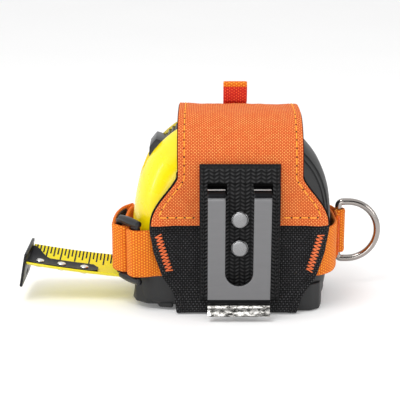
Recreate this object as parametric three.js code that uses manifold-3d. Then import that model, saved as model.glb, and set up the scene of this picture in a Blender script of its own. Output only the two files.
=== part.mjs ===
// A tape measure in its belt pouch: woven fabric panels and webbing straps hold a
// tape measure, with a steel belt clip on the back, a D-ring on one side and a flap over the top.
// Millimetres, +Z up. The belt clip faces -Y, the blade comes out towards -X, and the origin is
// the middle of the bottom panel's underside, below the middle of the belt clip.
import * as THREE from "three";
import { mergeVertices } from "three/addons/utils/BufferGeometryUtils.js";
import Module from "manifold-3d";

const wasm = await Module();
wasm.setup();

// ---- Driving dimensions ----
const GAP = 0.3; // clearance between pieces that touch

// The tape measure's case
const CASE_X = -2.5; // centre of the reel
const CASE_Z = 42;
const CASE_BOTTOM = 1.7;
const CASE_TOP = 82;
const CASE_HALF_DEPTH = 22.5;
const CASE_FLAT = 8; // half depth of the rim's straight part
const FACE_X_SCALE = 0.74; // the flat side face against the rim outline
const FACE_BOTTOM = 4.5;
const FACE_TOP = 66;
const RUBBER_SCALE = 0.968;
const CORE_SCALE = 0.96;
const CORE_HALF_DEPTH = 21.3;
const CAVITY_SCALE = 0.93;
const CAVITY_HALF_DEPTH = 19.6;
const RUBBER_HALF_DEPTH = 21.75; // inner face of the rubber overmould
const CHANNEL_R = 39.4; // floor of the lock lever's channel
const LEVER_HALF = 8.2;
const LEVER_R = 41.2; // top of the lever between its ribs
const LEVER_RIB_R = 41.9;
const LEVER_STEP_R = 44.2; // top of its thumb step
const CHANNEL_HALF = LEVER_HALF + 0.4;
const MOUTH_BACK_X = -34;
const MOUTH_HALF = 14.4;
const MOUTH_LOW = 5.6;
const MOUTH_HIGH = 14.6;

// Screws through both halves of the case, with their heads sunk in the front half
const BOSSES = [[-36.5, 26], [29, 58], [31, 12]];
const BOSS_R = 3;
const SCREW_R = 1.1;
const SCREW_PILOT_R = 1.3;
const SCREW_CLEAR_R = 1.5;
const SCREW_HEAD_R = 2.5;
const SCREW_WELL_R = 2.9;
const SCREW_END_Y = -12;
const SCREW_WELL_Y = 13.5; // floor of the well that the head sits in
const SCREW_HEAD_Y = [13.8, 15.4];
const SCREW_SLOT_Y = 14.7; // floor of the head's slot
const SCREW_SLOT_HALF = 0.4;

// The reel on its axle
const AXLE_R = 3;
const AXLE_HALF = 18.9;
const SPRING_R = [3.4, 14.2];
const SPRING_HALF = 11.5;
const DRUM_BORE_R = 14.6;
const FLANGE_Y = [14, 15.2];
const COIL_HALF = 13.2;

// The blade, on a long arc that rises away from the mouth
const BLADE_RADIUS = 475;
const BLADE_LOW_X = -5;
const BLADE_LOW_Z = 6.3;
const BLADE_WIDTH = 26;
const BLADE_SAG = 4.1;
const BLADE_THICK = 0.45;
const BLADE_END_X = -90.5;
const BLADE_INNER_X = -24;
const HOOK_HEIGHT = 15;
const HOOK_THICK = 1.1;
const TANG_LENGTH = 30;
const TANG_HALF = 5.5;
const TANG_THICK = 0.8;
const COIL_R = 29.5;
const DRUM_R = 17;
const HOOK_RIVETS = [4.5, 14, 24]; // along the blade from its end
const HOOK_PLAY = 0.8;

// The pouch's fabric
const CLOTH = 1.2;
const BLACK_Y = -(CASE_HALF_DEPTH + GAP); // inner face of the black back panel
const ORANGE_Y = BLACK_Y - CLOTH - GAP; // inner face of the orange back panel
const ORANGE_HALF = 25.3;
const ORANGE_BOTTOM = 38;
const ORANGE_FLARE = 36.3; // half width at its bottom edge
const FLARE_TOP = 58;
const BLACK_EDGE = 0.6; // how far the black panel shows beside the orange one
const PANEL_TOP = 60;
const BOTTOM_HALF = 24.8; // half width of the bottom panel
const HINGE_Z = 65; // where the orange panel turns into the flap
const FLAP_TOP = 84;
const FLAP_END = 50; // lowest edge of the flap in front
const TAB_X = -1;
const TAB_HALF = 5.1;
const TAB_TOP = 90.6;
const TAB_THICK = 1;
const TAPE_THICK = 0.8; // hook tape and loop tape
const TAPE_TOP = 58.5;

// The belt clip and the webbing that carries it
const CLIP_HALF = 12.7;
const STEEL = 1.1;
const CLIP_TOP = 56.3;
const SLOT_HALF = 5.7;
const SLOT_BOTTOM = 15.6;
const RIVET_Z = [41.8, 29.7];
const STRIP_HALF = 16.4;
const STRIP_BOTTOM = 7.2;
const STRIP_COVER_TOP = 64;
const BACK_LEAF_Y = -26.6; // its face towards the pouch
const STRIP_Y = BACK_LEAF_Y - STEEL - GAP;
const STRIP_THICK = 1.5;
const LEAF_TOP_Y = -37.8; // the front leaf's inner face at the top bend
const LEAF_LOW_Y = -34.4; // and at the crease above the lip

// Side straps, 20 mm webbing
const STRAP_LOW = 15.5;
const STRAP_HIGH = 35.5;
const WEBBING = 1.3;

// The D-ring
const RING_BAR = [44.6, 11];
const RING_Z = 25.5;
const RING_WIRE = 1.5;
const RING_HALF = 12.65;
const RING_STRAIGHT = 4.3;

// ---- Shape helpers ----
function solid(geometry) {
  const bare = geometry.clone();
  bare.deleteAttribute("normal");
  bare.deleteAttribute("uv");
  const merged = mergeVertices(bare, 1e-4);
  return new wasm.Manifold(
    new wasm.Mesh({
      numProp: 3,
      vertProperties: merged.attributes.position.array,
      triVerts: new Uint32Array(merged.index.array),
    }),
  );
}

function geometryOf(manifold) {
  const mesh = manifold.getMesh();
  const geometry = new THREE.BufferGeometry();
  geometry.setAttribute("position", new THREE.BufferAttribute(mesh.vertProperties, 3));
  geometry.setIndex(new THREE.BufferAttribute(mesh.triVerts, 1));
  const flat = geometry.toNonIndexed();
  flat.computeVertexNormals();
  return flat;
}

function box(x0, x1, y0, y1, z0, z1) {
  const made = new THREE.BoxGeometry(x1 - x0, y1 - y0, z1 - z0);
  return made.translate((x0 + x1) / 2, (y0 + y1) / 2, (z0 + z1) / 2);
}

function shapeOf(points) {
  return new THREE.Shape(points.map(([a, b]) => new THREE.Vector2(a, b)));
}

function extrude(points, depth, curveSegments = 12) {
  const shape = Array.isArray(points) ? shapeOf(points) : points;
  return new THREE.ExtrudeGeometry(shape, { depth, bevelEnabled: false, curveSegments });
}

// An outline in x and z, extruded from y0 to y1.
function alongY(points, y0, y1, curveSegments) {
  return extrude(points, y1 - y0, curveSegments).rotateX(Math.PI / 2).translate(0, y1, 0);
}

// An outline in y and z, extruded from x0 to x1.
function alongX(points, x0, x1) {
  const turn = new THREE.Matrix4().set(0, 0, 1, x0, 1, 0, 0, 0, 0, 1, 0, 0, 0, 0, 0, 1);
  return extrude(points, x1 - x0).applyMatrix4(turn);
}

// An outline in x and y, extruded from z0 to z1.
function alongZ(points, z0, z1) {
  return extrude(points, z1 - z0).translate(0, 0, z0);
}

// A cylinder along Y.
function rod(radius, y0, y1, x, z, segments = 20) {
  return new THREE.CylinderGeometry(radius, radius, y1 - y0, segments).translate(x, (y0 + y1) / 2, z);
}

// A smooth line through a few points, as many steps as asked for.
function smooth(points, steps) {
  const curve = new THREE.CatmullRomCurve3(
    points.map(([a, b]) => new THREE.Vector3(a, b, 0)), false, "centripetal");
  return curve.getSpacedPoints(steps).map((p) => [p.x, p.y]);
}

// The outline of a strip of a given thickness along a line, thickness on both sides.
function ribbon(line, thickness) {
  const side = (sign) => line.map(([x, y], i) => {
    const [ax, ay] = line[Math.max(i - 1, 0)];
    const [bx, by] = line[Math.min(i + 1, line.length - 1)];
    const run = Math.hypot(bx - ax, by - ay);
    const reach = (sign * thickness) / 2 / run;
    return [x - (by - ay) * reach, y + (bx - ax) * reach];
  });
  return [...side(-1), ...side(1).reverse()];
}

// Points of an arc about (cx, cz), angles in degrees.
function arc(cx, cz, radius, from, to, steps) {
  return Array.from({ length: steps + 1 }, (_, i) => {
    const angle = THREE.MathUtils.degToRad(from + ((to - from) * i) / steps);
    return [cx + radius * Math.cos(angle), cz + radius * Math.sin(angle)];
  });
}

// A closed skin over rings of equal length, each ring a list of [x, y, z], with flat ends.
function skin(rings) {
  const count = rings[0].length;
  const points = rings.flat();
  const faces = [];
  for (let r = 0; r + 1 < rings.length; r++)
    for (let i = 0; i < count; i++) {
      const a = r * count + i;
      const b = r * count + ((i + 1) % count);
      faces.push(a, b, b + count, a, b + count, a + count);
    }
  [0, rings.length - 1].forEach((r, end) => {
    const centre = points.length;
    points.push([0, 1, 2].map((k) => rings[r].reduce((sum, p) => sum + p[k], 0) / count));
    for (let i = 0; i < count; i++) {
      const a = r * count + i;
      const b = r * count + ((i + 1) % count);
      faces.push(...(end ? [a, b, centre] : [b, a, centre]));
    }
  });
  const geometry = new THREE.BufferGeometry();
  geometry.setAttribute("position", new THREE.Float32BufferAttribute(points.flat(), 3));
  geometry.setIndex(faces);
  return solid(geometry).volume() < 0 ? flipped(geometry) : geometry;
}

function flipped(geometry) {
  const index = geometry.index.array;
  for (let i = 0; i < index.length; i += 3) [index[i + 1], index[i + 2]] = [index[i + 2], index[i + 1]];
  return geometry;
}

// A curved sheet: at(u, v) gives [x, y, z] with u and v from 0 to 1, thickened along its normal.
function sheet(at, across, along, thickness) {
  const point = (u, v) => new THREE.Vector3(...at(u, v));
  const normal = (u, v) => {
    const step = 0.01;
    const du = point(Math.min(u + step, 1), v).sub(point(Math.max(u - step, 0), v));
    const dv = point(u, Math.min(v + step, 1)).sub(point(u, Math.max(v - step, 0)));
    return du.cross(dv).normalize();
  };
  const rings = [];
  for (let j = 0; j <= along; j++) {
    const v = j / along;
    const inner = [];
    const outer = [];
    for (let i = 0; i <= across; i++) {
      const base = point(i / across, v);
      inner.push(base.toArray());
      outer.push(base.clone().addScaledVector(normal(i / across, v), thickness).toArray());
    }
    rings.push([...inner, ...outer.reverse()]);
  }
  return skin(rings);
}

// ---- Assembly ----
const pouch = new THREE.Group();
const COLOURS = {
  orange: [0xf0641e, 0.85, 0],
  orange_webbing: [0xf5781c, 0.8, 0],
  black_webbing: [0x1c1c1e, 0.9, 0],
  steel: [0xa0a2a4, 0.35, 1],
  chrome: [0xb9b4ae, 0.2, 1],
  yellow: [0xf9e71a, 0.3, 0],
  rubber: [0x3e3f41, 0.55, 0],
  black_plastic: [0x27282a, 0.45, 0],
  blade: [0xf2e023, 0.35, 0],
  black_steel: [0x1b1b1d, 0.4, 1],
  spring_steel: [0x55585c, 0.4, 1],
};

function add(name, geometry, look) {
  const [color, roughness, metalness] = COLOURS[look];
  const mesh = new THREE.Mesh(geometry, new THREE.MeshStandardMaterial({ color, roughness, metalness }));
  mesh.name = name;
  pouch.add(mesh);
}

// ---- The case: a rounded D outline, lofted from its rim to smaller flat side faces ----
const RIM = [
  ...arc(-40.5, CASE_BOTTOM + 4.5, 4.5, 270, 180, 3),
  ...smooth([[-45, 20], [-44.9, 33], [-43.6, 45], [-41.2, 56], [-37.4, 65.8], [-31.8, 73], [-24, 78.4],
    [-14, 81.3], [-5, CASE_TOP], [5, 81.4], [14.5, 79], [22, 75.2], [28.5, 69.6], [34.8, 60.4], [38.2, 51],
    [39.7, 41], [40, 30], [39.2, 18], [37.6, 9]], 26),
  ...arc(32, CASE_BOTTOM + 5, 5, 10, -90, 3),
];

function caseBody(scale, halfDepth) {
  const sections = [1, 0.93, 0.78, 0.5, 0].map((t) => t * (CASE_HALF_DEPTH - CASE_FLAT));
  const depths = [...sections.map((d) => -d - CASE_FLAT), ...sections.reverse().map((d) => d + CASE_FLAT)];
  return solid(skin(depths.map((y) => {
    const t = (Math.abs(y) - CASE_FLAT) / (CASE_HALF_DEPTH - CASE_FLAT);
    const blend = 1 - Math.sqrt(Math.max(0, 1 - t * t));
    return RIM.map(([x, z]) => {
      const faceX = CASE_X + (x - CASE_X) * FACE_X_SCALE;
      const faceZ = FACE_BOTTOM + ((z - CASE_BOTTOM) * (FACE_TOP - FACE_BOTTOM)) / (CASE_TOP - CASE_BOTTOM);
      const px = x + (faceX - x) * blend;
      const pz = z + (faceZ - z) * blend;
      const py = (y * halfDepth) / CASE_HALF_DEPTH;
      return [CASE_X + (px - CASE_X) * scale, py, CASE_Z + (pz - CASE_Z) * scale];
    });
  })));
}

// The black overmould covers the rear and the foot, in front of a line that runs down and forward.
function rubberZone(grow) {
  const edge = smooth([[16, 90], [13, 74], [7, 58], [-2, 42], [-14, 28], [-28, 19.5], [-50, 15.5]], 9);
  const line = edge.map(([x, z]) => [x - grow * 0.8, z + grow * 0.6]);
  return solid(alongY([...line, [-60, -5], [60, -5], [60, 90]], -40, 40));
}

const outer = caseBody(1, CASE_HALF_DEPTH);
const core = caseBody(CORE_SCALE, CORE_HALF_DEPTH);
const mouth = solid(box(-60, MOUTH_BACK_X, -MOUTH_HALF, MOUTH_HALF, MOUTH_LOW, MOUTH_HIGH));
const channel = solid(alongY([...arc(CASE_X, CASE_Z, CHANNEL_R, 98, 161, 14),
  ...arc(CASE_X, CASE_Z, 60, 161, 98, 10)], -CHANNEL_HALF, CHANNEL_HALF));
const shell = outer.subtract(rubberZone(GAP)).add(core)
  .subtract(caseBody(CAVITY_SCALE, CAVITY_HALF_DEPTH)).subtract(mouth).subtract(channel);
const rubber = outer.subtract(caseBody(RUBBER_SCALE, RUBBER_HALF_DEPTH)).intersect(rubberZone(0))
  .subtract(mouth).subtract(channel);
const backHalf = solid(box(-90, 90, -60, -GAP / 2, -10, 120));
const frontHalf = solid(box(-90, 90, GAP / 2, 60, -10, 120));

// Screw bosses stand inside both halves at three corners, with the screws' holes through them.
function bossed(half, y0, y1) {
  const boss = ([x, z]) => solid(rod(BOSS_R, y0, y1, x, z, 14)).intersect(core);
  return BOSSES.reduce((body, place) => body.add(boss(place)), half);
}
function drilled(half, radius, y0, y1) {
  return BOSSES.reduce((body, [x, z]) => body.subtract(solid(rod(radius, y0, y1, x, z, 14))), half);
}
const backShell = bossed(shell.intersect(backHalf), -CORE_HALF_DEPTH, -GAP / 2);
const frontShell = bossed(shell.intersect(frontHalf), GAP / 2, CORE_HALF_DEPTH);
const frontDrilled = drilled(frontShell, SCREW_CLEAR_R, -1, 40);
add("tape_case_back", geometryOf(drilled(backShell, SCREW_PILOT_R, SCREW_END_Y - 2, 1)), "yellow");
add("tape_case_front", geometryOf(drilled(frontDrilled, SCREW_WELL_R, SCREW_WELL_Y, 40)), "yellow");
add("tape_grip_back", geometryOf(rubber.intersect(backHalf)), "rubber");
add("tape_grip_front", geometryOf(drilled(rubber.intersect(frontHalf), SCREW_WELL_R, 10, 40)), "rubber");

BOSSES.forEach(([x, z], i) => {
  const [headLow, headHigh] = SCREW_HEAD_Y;
  const slot = box(x - SCREW_HEAD_R, x + SCREW_HEAD_R, SCREW_SLOT_Y, headHigh + 1, z - SCREW_SLOT_HALF,
    z + SCREW_SLOT_HALF);
  const screw = solid(rod(SCREW_R, SCREW_END_Y, headLow + 0.1, x, z, 14))
    .add(solid(rod(SCREW_HEAD_R, headLow, headHigh, x, z, 16)));
  add(`tape_case_screw_${i + 1}`, geometryOf(screw.subtract(solid(slot))), "black_steel");
});

// ---- The lock lever: a slide that follows the rim, with ribs and a thumb step ----
const onReel = (radius, from, to, steps) => arc(CASE_X, CASE_Z, radius, from, to, steps);
const ribs = Array.from({ length: 6 }, (_, i) => 116 + i * 3).flatMap((a) => [
  ...onReel(LEVER_RIB_R, a, a + 1.2, 1), ...onReel(LEVER_R, a + 1.6, a + 2.6, 1)]);
const leverProfile = [...onReel(CHANNEL_R + GAP, 153.5, 110, 12), ...onReel(LEVER_R, 110, 115, 2), ...ribs,
  ...onReel(LEVER_R + 0.3, 134.5, 135, 1), ...onReel(LEVER_STEP_R, 138, 144.5, 2),
  ...onReel(LEVER_R + 0.3, 150, 153.5, 1)];
add("tape_lock_lever", alongY(leverProfile, -LEVER_HALF, LEVER_HALF), "black_plastic");

// ---- The reel: axle, drum, wound blade and power spring ----
function tube(inner, outside, y0, y1, segments = 24) {
  return solid(rod(outside, y0, y1, CASE_X, CASE_Z, segments))
    .subtract(solid(rod(inner, y0 - 1, y1 + 1, CASE_X, CASE_Z, segments)));
}
const axleSlot = box(CASE_X - 0.5, CASE_X + 0.5, -12, 12, CASE_Z, CASE_Z + 5);
const axle = solid(rod(AXLE_R, -AXLE_HALF, AXLE_HALF, CASE_X, CASE_Z));
add("tape_axle", geometryOf(axle.subtract(solid(axleSlot))), "black_plastic");
add("tape_power_spring", geometryOf(tube(...SPRING_R, -SPRING_HALF, SPRING_HALF)), "spring_steel");
const [flangeLow, flangeHigh] = FLANGE_Y;
add("tape_drum", geometryOf(tube(DRUM_BORE_R, DRUM_R, -flangeLow - 0.6, flangeLow + 0.6)
  .add(tube(DRUM_R - 1, COIL_R + 0.6, -flangeHigh, -flangeLow))
  .add(tube(DRUM_R - 1, COIL_R + 0.6, flangeLow, flangeHigh))), "black_plastic");
add("tape_blade_coil", geometryOf(tube(DRUM_R + GAP + 0.2, COIL_R, -COIL_HALF, COIL_HALF, 28)), "blade");

// ---- The blade, a curved strip on a long arc, with its end hook ----
const BLADE_CENTRE_Z = BLADE_LOW_Z + BLADE_RADIUS;
function bladeAngle(x) {
  return Math.asin((BLADE_LOW_X - x) / BLADE_RADIUS);
}
// A place on the blade: along it as an angle, across it in y, and up from its lowest line.
function onBlade(angle, y, up) {
  const reach = BLADE_RADIUS - up;
  return [BLADE_LOW_X - reach * Math.sin(angle), y, BLADE_CENTRE_Z - reach * Math.cos(angle)];
}
function dish(y) {
  return BLADE_SAG * (y / (BLADE_WIDTH / 2)) ** 2;
}
function bladeStrip(fromX, toX, halfWidth, low, high, steps) {
  const from = bladeAngle(fromX);
  const to = bladeAngle(toX);
  const across = 6;
  const rings = Array.from({ length: steps + 1 }, (_, i) => {
    const angle = from + ((to - from) * i) / steps;
    const ys = Array.from({ length: across + 1 }, (_, k) => halfWidth * ((2 * k) / across - 1));
    return [...ys.map((y) => onBlade(angle, y, dish(y) + low)),
      ...ys.reverse().map((y) => onBlade(angle, y, dish(y) + high))];
  });
  return skin(rings);
}

const hookTilt = bladeAngle(BLADE_END_X);
const hookPlace = onBlade(hookTilt, 0, 0);
const tang = solid(bladeStrip(BLADE_END_X + TANG_LENGTH, BLADE_END_X - 0.6, TANG_HALF, BLADE_THICK + GAP,
  BLADE_THICK + GAP + TANG_THICK, 4));
const plate = solid(box(-HOOK_THICK - GAP, -GAP, -BLADE_WIDTH / 2, BLADE_WIDTH / 2, -HOOK_HEIGHT / 2,
  HOOK_HEIGHT / 2).rotateY(hookTilt).translate(...hookPlace));

// The hook's rivets hold it to the blade, and its holes are long enough for its play.
function shaftOnBlade(along, radius, low, high) {
  const angle = bladeAngle(BLADE_END_X + along);
  const shaft = new THREE.CylinderGeometry(radius, radius, high - low, 10).rotateX(Math.PI / 2);
  return solid(shaft.translate(0, 0, (low + high) / 2).rotateY(angle).translate(...onBlade(angle, 0, 0)));
}
const blade = HOOK_RIVETS.reduce((body, along) => body.subtract(shaftOnBlade(along, 1.1, -4, 6)),
  solid(bladeStrip(BLADE_INNER_X, BLADE_END_X, BLADE_WIDTH / 2, 0, BLADE_THICK, 4)));
add("tape_blade", geometryOf(blade), "blade");
const hook = HOOK_RIVETS.reduce((body, along) => body.subtract(wasm.Manifold.hull(
  [shaftOnBlade(along, 1.1, -4, 6), shaftOnBlade(along + HOOK_PLAY, 1.1, -4, 6)])), tang.add(plate));
add("tape_end_hook", geometryOf(hook), "black_steel");
HOOK_RIVETS.forEach((along, i) => {
  const top = BLADE_THICK + GAP + TANG_THICK + 0.25;
  add(`tape_hook_rivet_${i + 1}`, geometryOf(shaftOnBlade(along, 0.8, -0.9, top + 0.3)
    .add(shaftOnBlade(along, 1.7, top, top + 0.7)).add(shaftOnBlade(along, 1.6, -1.0, -0.3))), "chrome");
});

// ---- Fabric panels ----
// The case's sides round off towards its rim, and the panels' wings follow them.
function drape(x) {
  const rim = x > 0 ? 40 : -45;
  const face = CASE_X + (rim - CASE_X) * FACE_X_SCALE;
  const t = THREE.MathUtils.clamp((x - face) / (rim - face), 0, 1);
  return 0.6 * (CASE_HALF_DEPTH - CASE_FLAT) * (1 - Math.sqrt(1 - t * t));
}
function orangeHalf(z) {
  const t = THREE.MathUtils.clamp((FLARE_TOP - z) / (FLARE_TOP - ORANGE_BOTTOM), 0, 1);
  return ORANGE_HALF + (ORANGE_FLARE - ORANGE_HALF) * Math.sin((t * Math.PI) / 2) ** 1.3;
}
// Half width of the black panel: narrow at the foot, and a little wider than the orange panel above.
function panelHalf(z) {
  if (z >= ORANGE_BOTTOM) return orangeHalf(z) + BLACK_EDGE;
  const rows = [[0, 24.8], [7, 26.4], [16, 31.8], [26, 35.2], [36, 37],
    [ORANGE_BOTTOM, ORANGE_FLARE + BLACK_EDGE]];
  const i = Math.max(1, rows.findIndex(([height]) => z <= height));
  const [[z0, w0], [z1, w1]] = [rows[i - 1], rows[i]];
  return w0 + ((w1 - w0) * (z - z0)) / (z1 - z0);
}
function panelSheet(side, face, halfOf, low, high, rows) {
  return sheet((u, v) => {
    const z = low + (high - low) * v;
    const x = halfOf(z) * (2 * u - 1);
    return [x, side * (Math.abs(face) - drape(x)), z];
  }, 12, rows, side < 0 ? CLOTH : -CLOTH);
}
add("back_panel", panelSheet(-1, BLACK_Y, panelHalf, 1.7, PANEL_TOP, 9), "black_webbing");
add("front_panel", panelSheet(1, BLACK_Y, panelHalf, 1.7, PANEL_TOP, 9), "black_webbing");
add("bottom_panel", box(-BOTTOM_HALF, BOTTOM_HALF, BLACK_Y - CLOTH, -BLACK_Y + CLOTH, 0, CLOTH + 0.2),
  "black_webbing");
add("back_yoke", panelSheet(-1, ORANGE_Y, orangeHalf, ORANGE_BOTTOM, HINGE_Z - GAP / 2, 8), "orange");

// The flap: an arch from the yoke over the case and down its front, drawn on its mid line.
const ARCH = smooth([[ORANGE_Y - CLOTH / 2, HINGE_Z + GAP / 2], [-24.5, 68.3], [-22.2, 73.5], [-17.8, 79],
  [-11.5, 82.5], [-4, FLAP_TOP - 0.3], [4, FLAP_TOP - 0.3], [11.5, 82.5], [17.8, 79], [22.6, 73.5],
  [25.4, 67], [26.8, 61], [27.1, FLAP_END]], 30);
add("flap", alongX(ribbon(ARCH, CLOTH), -ORANGE_HALF, ORANGE_HALF), "orange");
const TAB_LINE = smooth([[15.6, 81.9], [15.2, 84.6], [15.2, TAB_TOP - 0.8], [16.2, TAB_TOP],
  [17.2, TAB_TOP - 0.8], [17.3, 84], [18.6, 80.0]], 14);
add("pull_tab", alongX(ribbon(TAB_LINE, TAB_THICK), TAB_X - TAB_HALF, TAB_X + TAB_HALF), "orange_webbing");

// Hook tape inside the flap's end, loop tape on the front panel's face.
const LOOP_Y = -BLACK_Y + CLOTH + GAP;
const HOOK_Y = LOOP_Y + TAPE_THICK + GAP;
add("front_loop_patch", box(-20, 20, LOOP_Y, LOOP_Y + TAPE_THICK, 40, TAPE_TOP), "black_webbing");
add("flap_hook_patch", box(-19, 19, HOOK_Y, HOOK_Y + TAPE_THICK, FLAP_END + 1, TAPE_TOP), "black_webbing");

// ---- Belt clip: back leaf under the webbing, front leaf with its tongue slot and lip ----
const backLeaf = solid(box(-CLIP_HALF, CLIP_HALF, BACK_LEAF_Y - STEEL, BACK_LEAF_Y, 18, CLIP_TOP - 3.6));
const backLeafDrilled = RIVET_Z.reduce(
  (body, z) => body.subtract(solid(rod(1.8, -40, -20, 0, z))), backLeaf);
add("clip_back_leaf", geometryOf(backLeafDrilled), "steel");

// Side view of the front leaf, on the middle of its steel.
const LEAF_MID = STEEL / 2;
const LEAF_LINE = [
  [BACK_LEAF_Y - LEAF_MID, CLIP_TOP - 3.2],
  ...arc(BACK_LEAF_Y - LEAF_MID - 2.4, CLIP_TOP - LEAF_MID - 2.4, 2.4, 0, 90, 5),
  ...arc(LEAF_TOP_Y - LEAF_MID + 2.4, CLIP_TOP - LEAF_MID - 2.4, 2.4, 90, 180, 5),
  [LEAF_LOW_Y - LEAF_MID, 8.2],
  ...smooth([[LEAF_LOW_Y - LEAF_MID + 1.0, 6.9], [LEAF_LOW_Y + 0.6, 5.6], [LEAF_LOW_Y - 0.6, 3.6],
    [LEAF_LOW_Y - 1.9, 2.4]], 5),
];
const tongueSlot = new THREE.Shape();
tongueSlot.moveTo(-SLOT_HALF, 70);
tongueSlot.lineTo(-SLOT_HALF, SLOT_BOTTOM + SLOT_HALF);
tongueSlot.absarc(0, SLOT_BOTTOM + SLOT_HALF, SLOT_HALF, Math.PI, 2 * Math.PI, false);
tongueSlot.lineTo(SLOT_HALF, 70);
const frontLeaf = solid(alongX(ribbon(LEAF_LINE, STEEL), -CLIP_HALF, CLIP_HALF))
  .subtract(solid(alongY(tongueSlot, -50, -20, 10)));
add("clip_front_leaf", geometryOf(frontLeaf), "steel");

RIVET_Z.forEach((z, i) => {
  const dome = new THREE.LatheGeometry([[0, 0], [3.55, 0], [3.4, 0.6], [2.3, 1.15], [0, 1.35]]
    .map(([r, h]) => new THREE.Vector2(r, h)), 18).rotateX(Math.PI)
    .translate(0, STRIP_Y - STRIP_THICK - 0.25, z);
  add(`clip_rivet_${i + 1}`, geometryOf(solid(dome)
    .add(solid(rod(1.5, STRIP_Y - STRIP_THICK - 0.6, -26.0, 0, z)))
    .add(solid(rod(2.8, -26.35, -25.85, 0, z)))), "chrome");
});

// The webbing patch, a pocket whose edges reach back to the panel.
const pocket = [[-STRIP_HALF, ORANGE_Y - CLOTH - GAP], [-STRIP_HALF, STRIP_Y - STRIP_THICK],
  [STRIP_HALF, STRIP_Y - STRIP_THICK], [STRIP_HALF, ORANGE_Y - CLOTH - GAP],
  [CLIP_HALF + 1, ORANGE_Y - CLOTH - GAP], [CLIP_HALF + 1, STRIP_Y], [-CLIP_HALF - 1, STRIP_Y],
  [-CLIP_HALF - 1, ORANGE_Y - CLOTH - GAP]];
const strip = RIVET_Z.reduce((body, z) => body.subtract(solid(rod(1.9, -40, -20, 0, z))),
  solid(alongZ(pocket, STRIP_BOTTOM, CLIP_TOP - 4.6)));
add("clip_webbing", geometryOf(strip), "black_webbing");
add("clip_webbing_top", box(-STRIP_HALF, STRIP_HALF, ORANGE_Y - CLOTH - GAP - 1.6, ORANGE_Y - CLOTH - GAP,
  CLIP_TOP + 0.8, STRIP_COVER_TOP), "black_webbing");

// ---- Side straps: webbing on edge, drawn in plan, trimmed to the panels that overlap them ----
function panelPrism(side) {
  const heights = [0, 7, 16, 26, 36, 40];
  const edge = (sign) => heights.map((z) => [sign * (panelHalf(z) + 3 * GAP), z]);
  const outline = [...edge(1), ...edge(-1).reverse()];
  return solid(alongY(outline, side < 0 ? -30 : 12, side < 0 ? -12 : 30));
}
function strap(name, line, low, high, thickness, look, steps) {
  add(name, geometryOf(solid(alongZ(ribbon(smooth(line, steps), thickness), low, high))
    .subtract(panelPrism(-1)).subtract(panelPrism(1))), look);
}

// A slide with two bars stands across the front of the case, turned about Z.
const SLIDE_START = [-41.5, -23.6];
const SLIDE_ALONG = [-0.61, 0.792];
const SLIDE_OUT = [-0.792, -0.61];
const SLIDE_LENGTH = 15.5;
const SLIDE_SLOT = [4.4, 13.1]; // along the slide, between its two bars
const SLIDE_HALF_THICK = 1.2;
const SLIDE_HALF_HEIGHT = 12;
const SLOT_HALF_HEIGHT = 10.3;
function onSlide(along, out) {
  return [0, 1].map((k) => SLIDE_START[k] + along * SLIDE_ALONG[k] + out * SLIDE_OUT[k]);
}
const slideBody = solid(box(0, SLIDE_LENGTH, -SLIDE_HALF_THICK, SLIDE_HALF_THICK, -SLIDE_HALF_HEIGHT,
  SLIDE_HALF_HEIGHT)).subtract(solid(box(...SLIDE_SLOT, -5, 5, -SLOT_HALF_HEIGHT, SLOT_HALF_HEIGHT)));
add("strap_slide", geometryOf(slideBody).rotateZ(Math.atan2(SLIDE_ALONG[1], SLIDE_ALONG[0]))
  .translate(...SLIDE_START, (STRAP_LOW + STRAP_HIGH) / 2), "black_plastic");

// The left anchor strap leaves the back panel and turns in round the near bar.
strap("left_anchor_strap", [[-30, -23.5], [-36.5, -24.0], [-40.2, -25.7], onSlide(0.8, 2.45),
  onSlide(2.8, 2.35), onSlide(4.5, 2.15), onSlide(5.5, 1.0), onSlide(5.5, -1.0), onSlide(4.5, -2.15),
  onSlide(2.8, -2.3)], STRAP_LOW, STRAP_HIGH, WEBBING, "orange_webbing", 24);
// The left strap comes round from the front panel, through the slide, and folds back outside itself.
strap("left_strap", [[-30, 23.5], [-36.5, 23.9], [-42.4, 20.6], [-46.3, 14], [-47.6, 5], [-47.8, -3],
  onSlide(14.6, -2.6), onSlide(11, -2.4), onSlide(8.6, -1.5), onSlide(8.0, 0), onSlide(8.6, 1.5),
  onSlide(11, 2.4), onSlide(14.6, 2.65), [-53.5, -8], [-53.4, 0], [-52.4, 8], [-49.6, 15.4], [-46.2, 20.2]],
STRAP_LOW, STRAP_HIGH, WEBBING, "orange_webbing", 44);
strap("left_strap_hook_tape", [[-52.0, -5], [-52.0, 0], [-51.0, 7.7], [-49.4, 12.4]],
  STRAP_LOW + 0.5, STRAP_HIGH - 0.5, 0.9, "black_webbing", 10);

// The right strap runs from under the back panel round the rear of the case to the front panel.
strap("right_strap", [[29, -23.0], [34, -21.9], [38.6, -17.2], [41.0, -10], [41.3, 0], [40.9, 9],
  [38.9, 16.4], [34.6, 21.6], [29, 23.1]], STRAP_LOW, STRAP_HIGH, WEBBING, "orange_webbing", 22);
const LOOP_R = RING_WIRE + 0.5 + 0.5;
strap("d_ring_loop", [[43.0, 0.5], [43.2, 4.5], ...arc(...RING_BAR, LOOP_R, 235, 340, 3),
  ...arc(...RING_BAR, LOOP_R, 0, 125, 4), [42.3, 16], [40.6, 19.5]], STRAP_LOW + 0.3, STRAP_HIGH - 0.3, 1.0,
"orange_webbing", 36);

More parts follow.
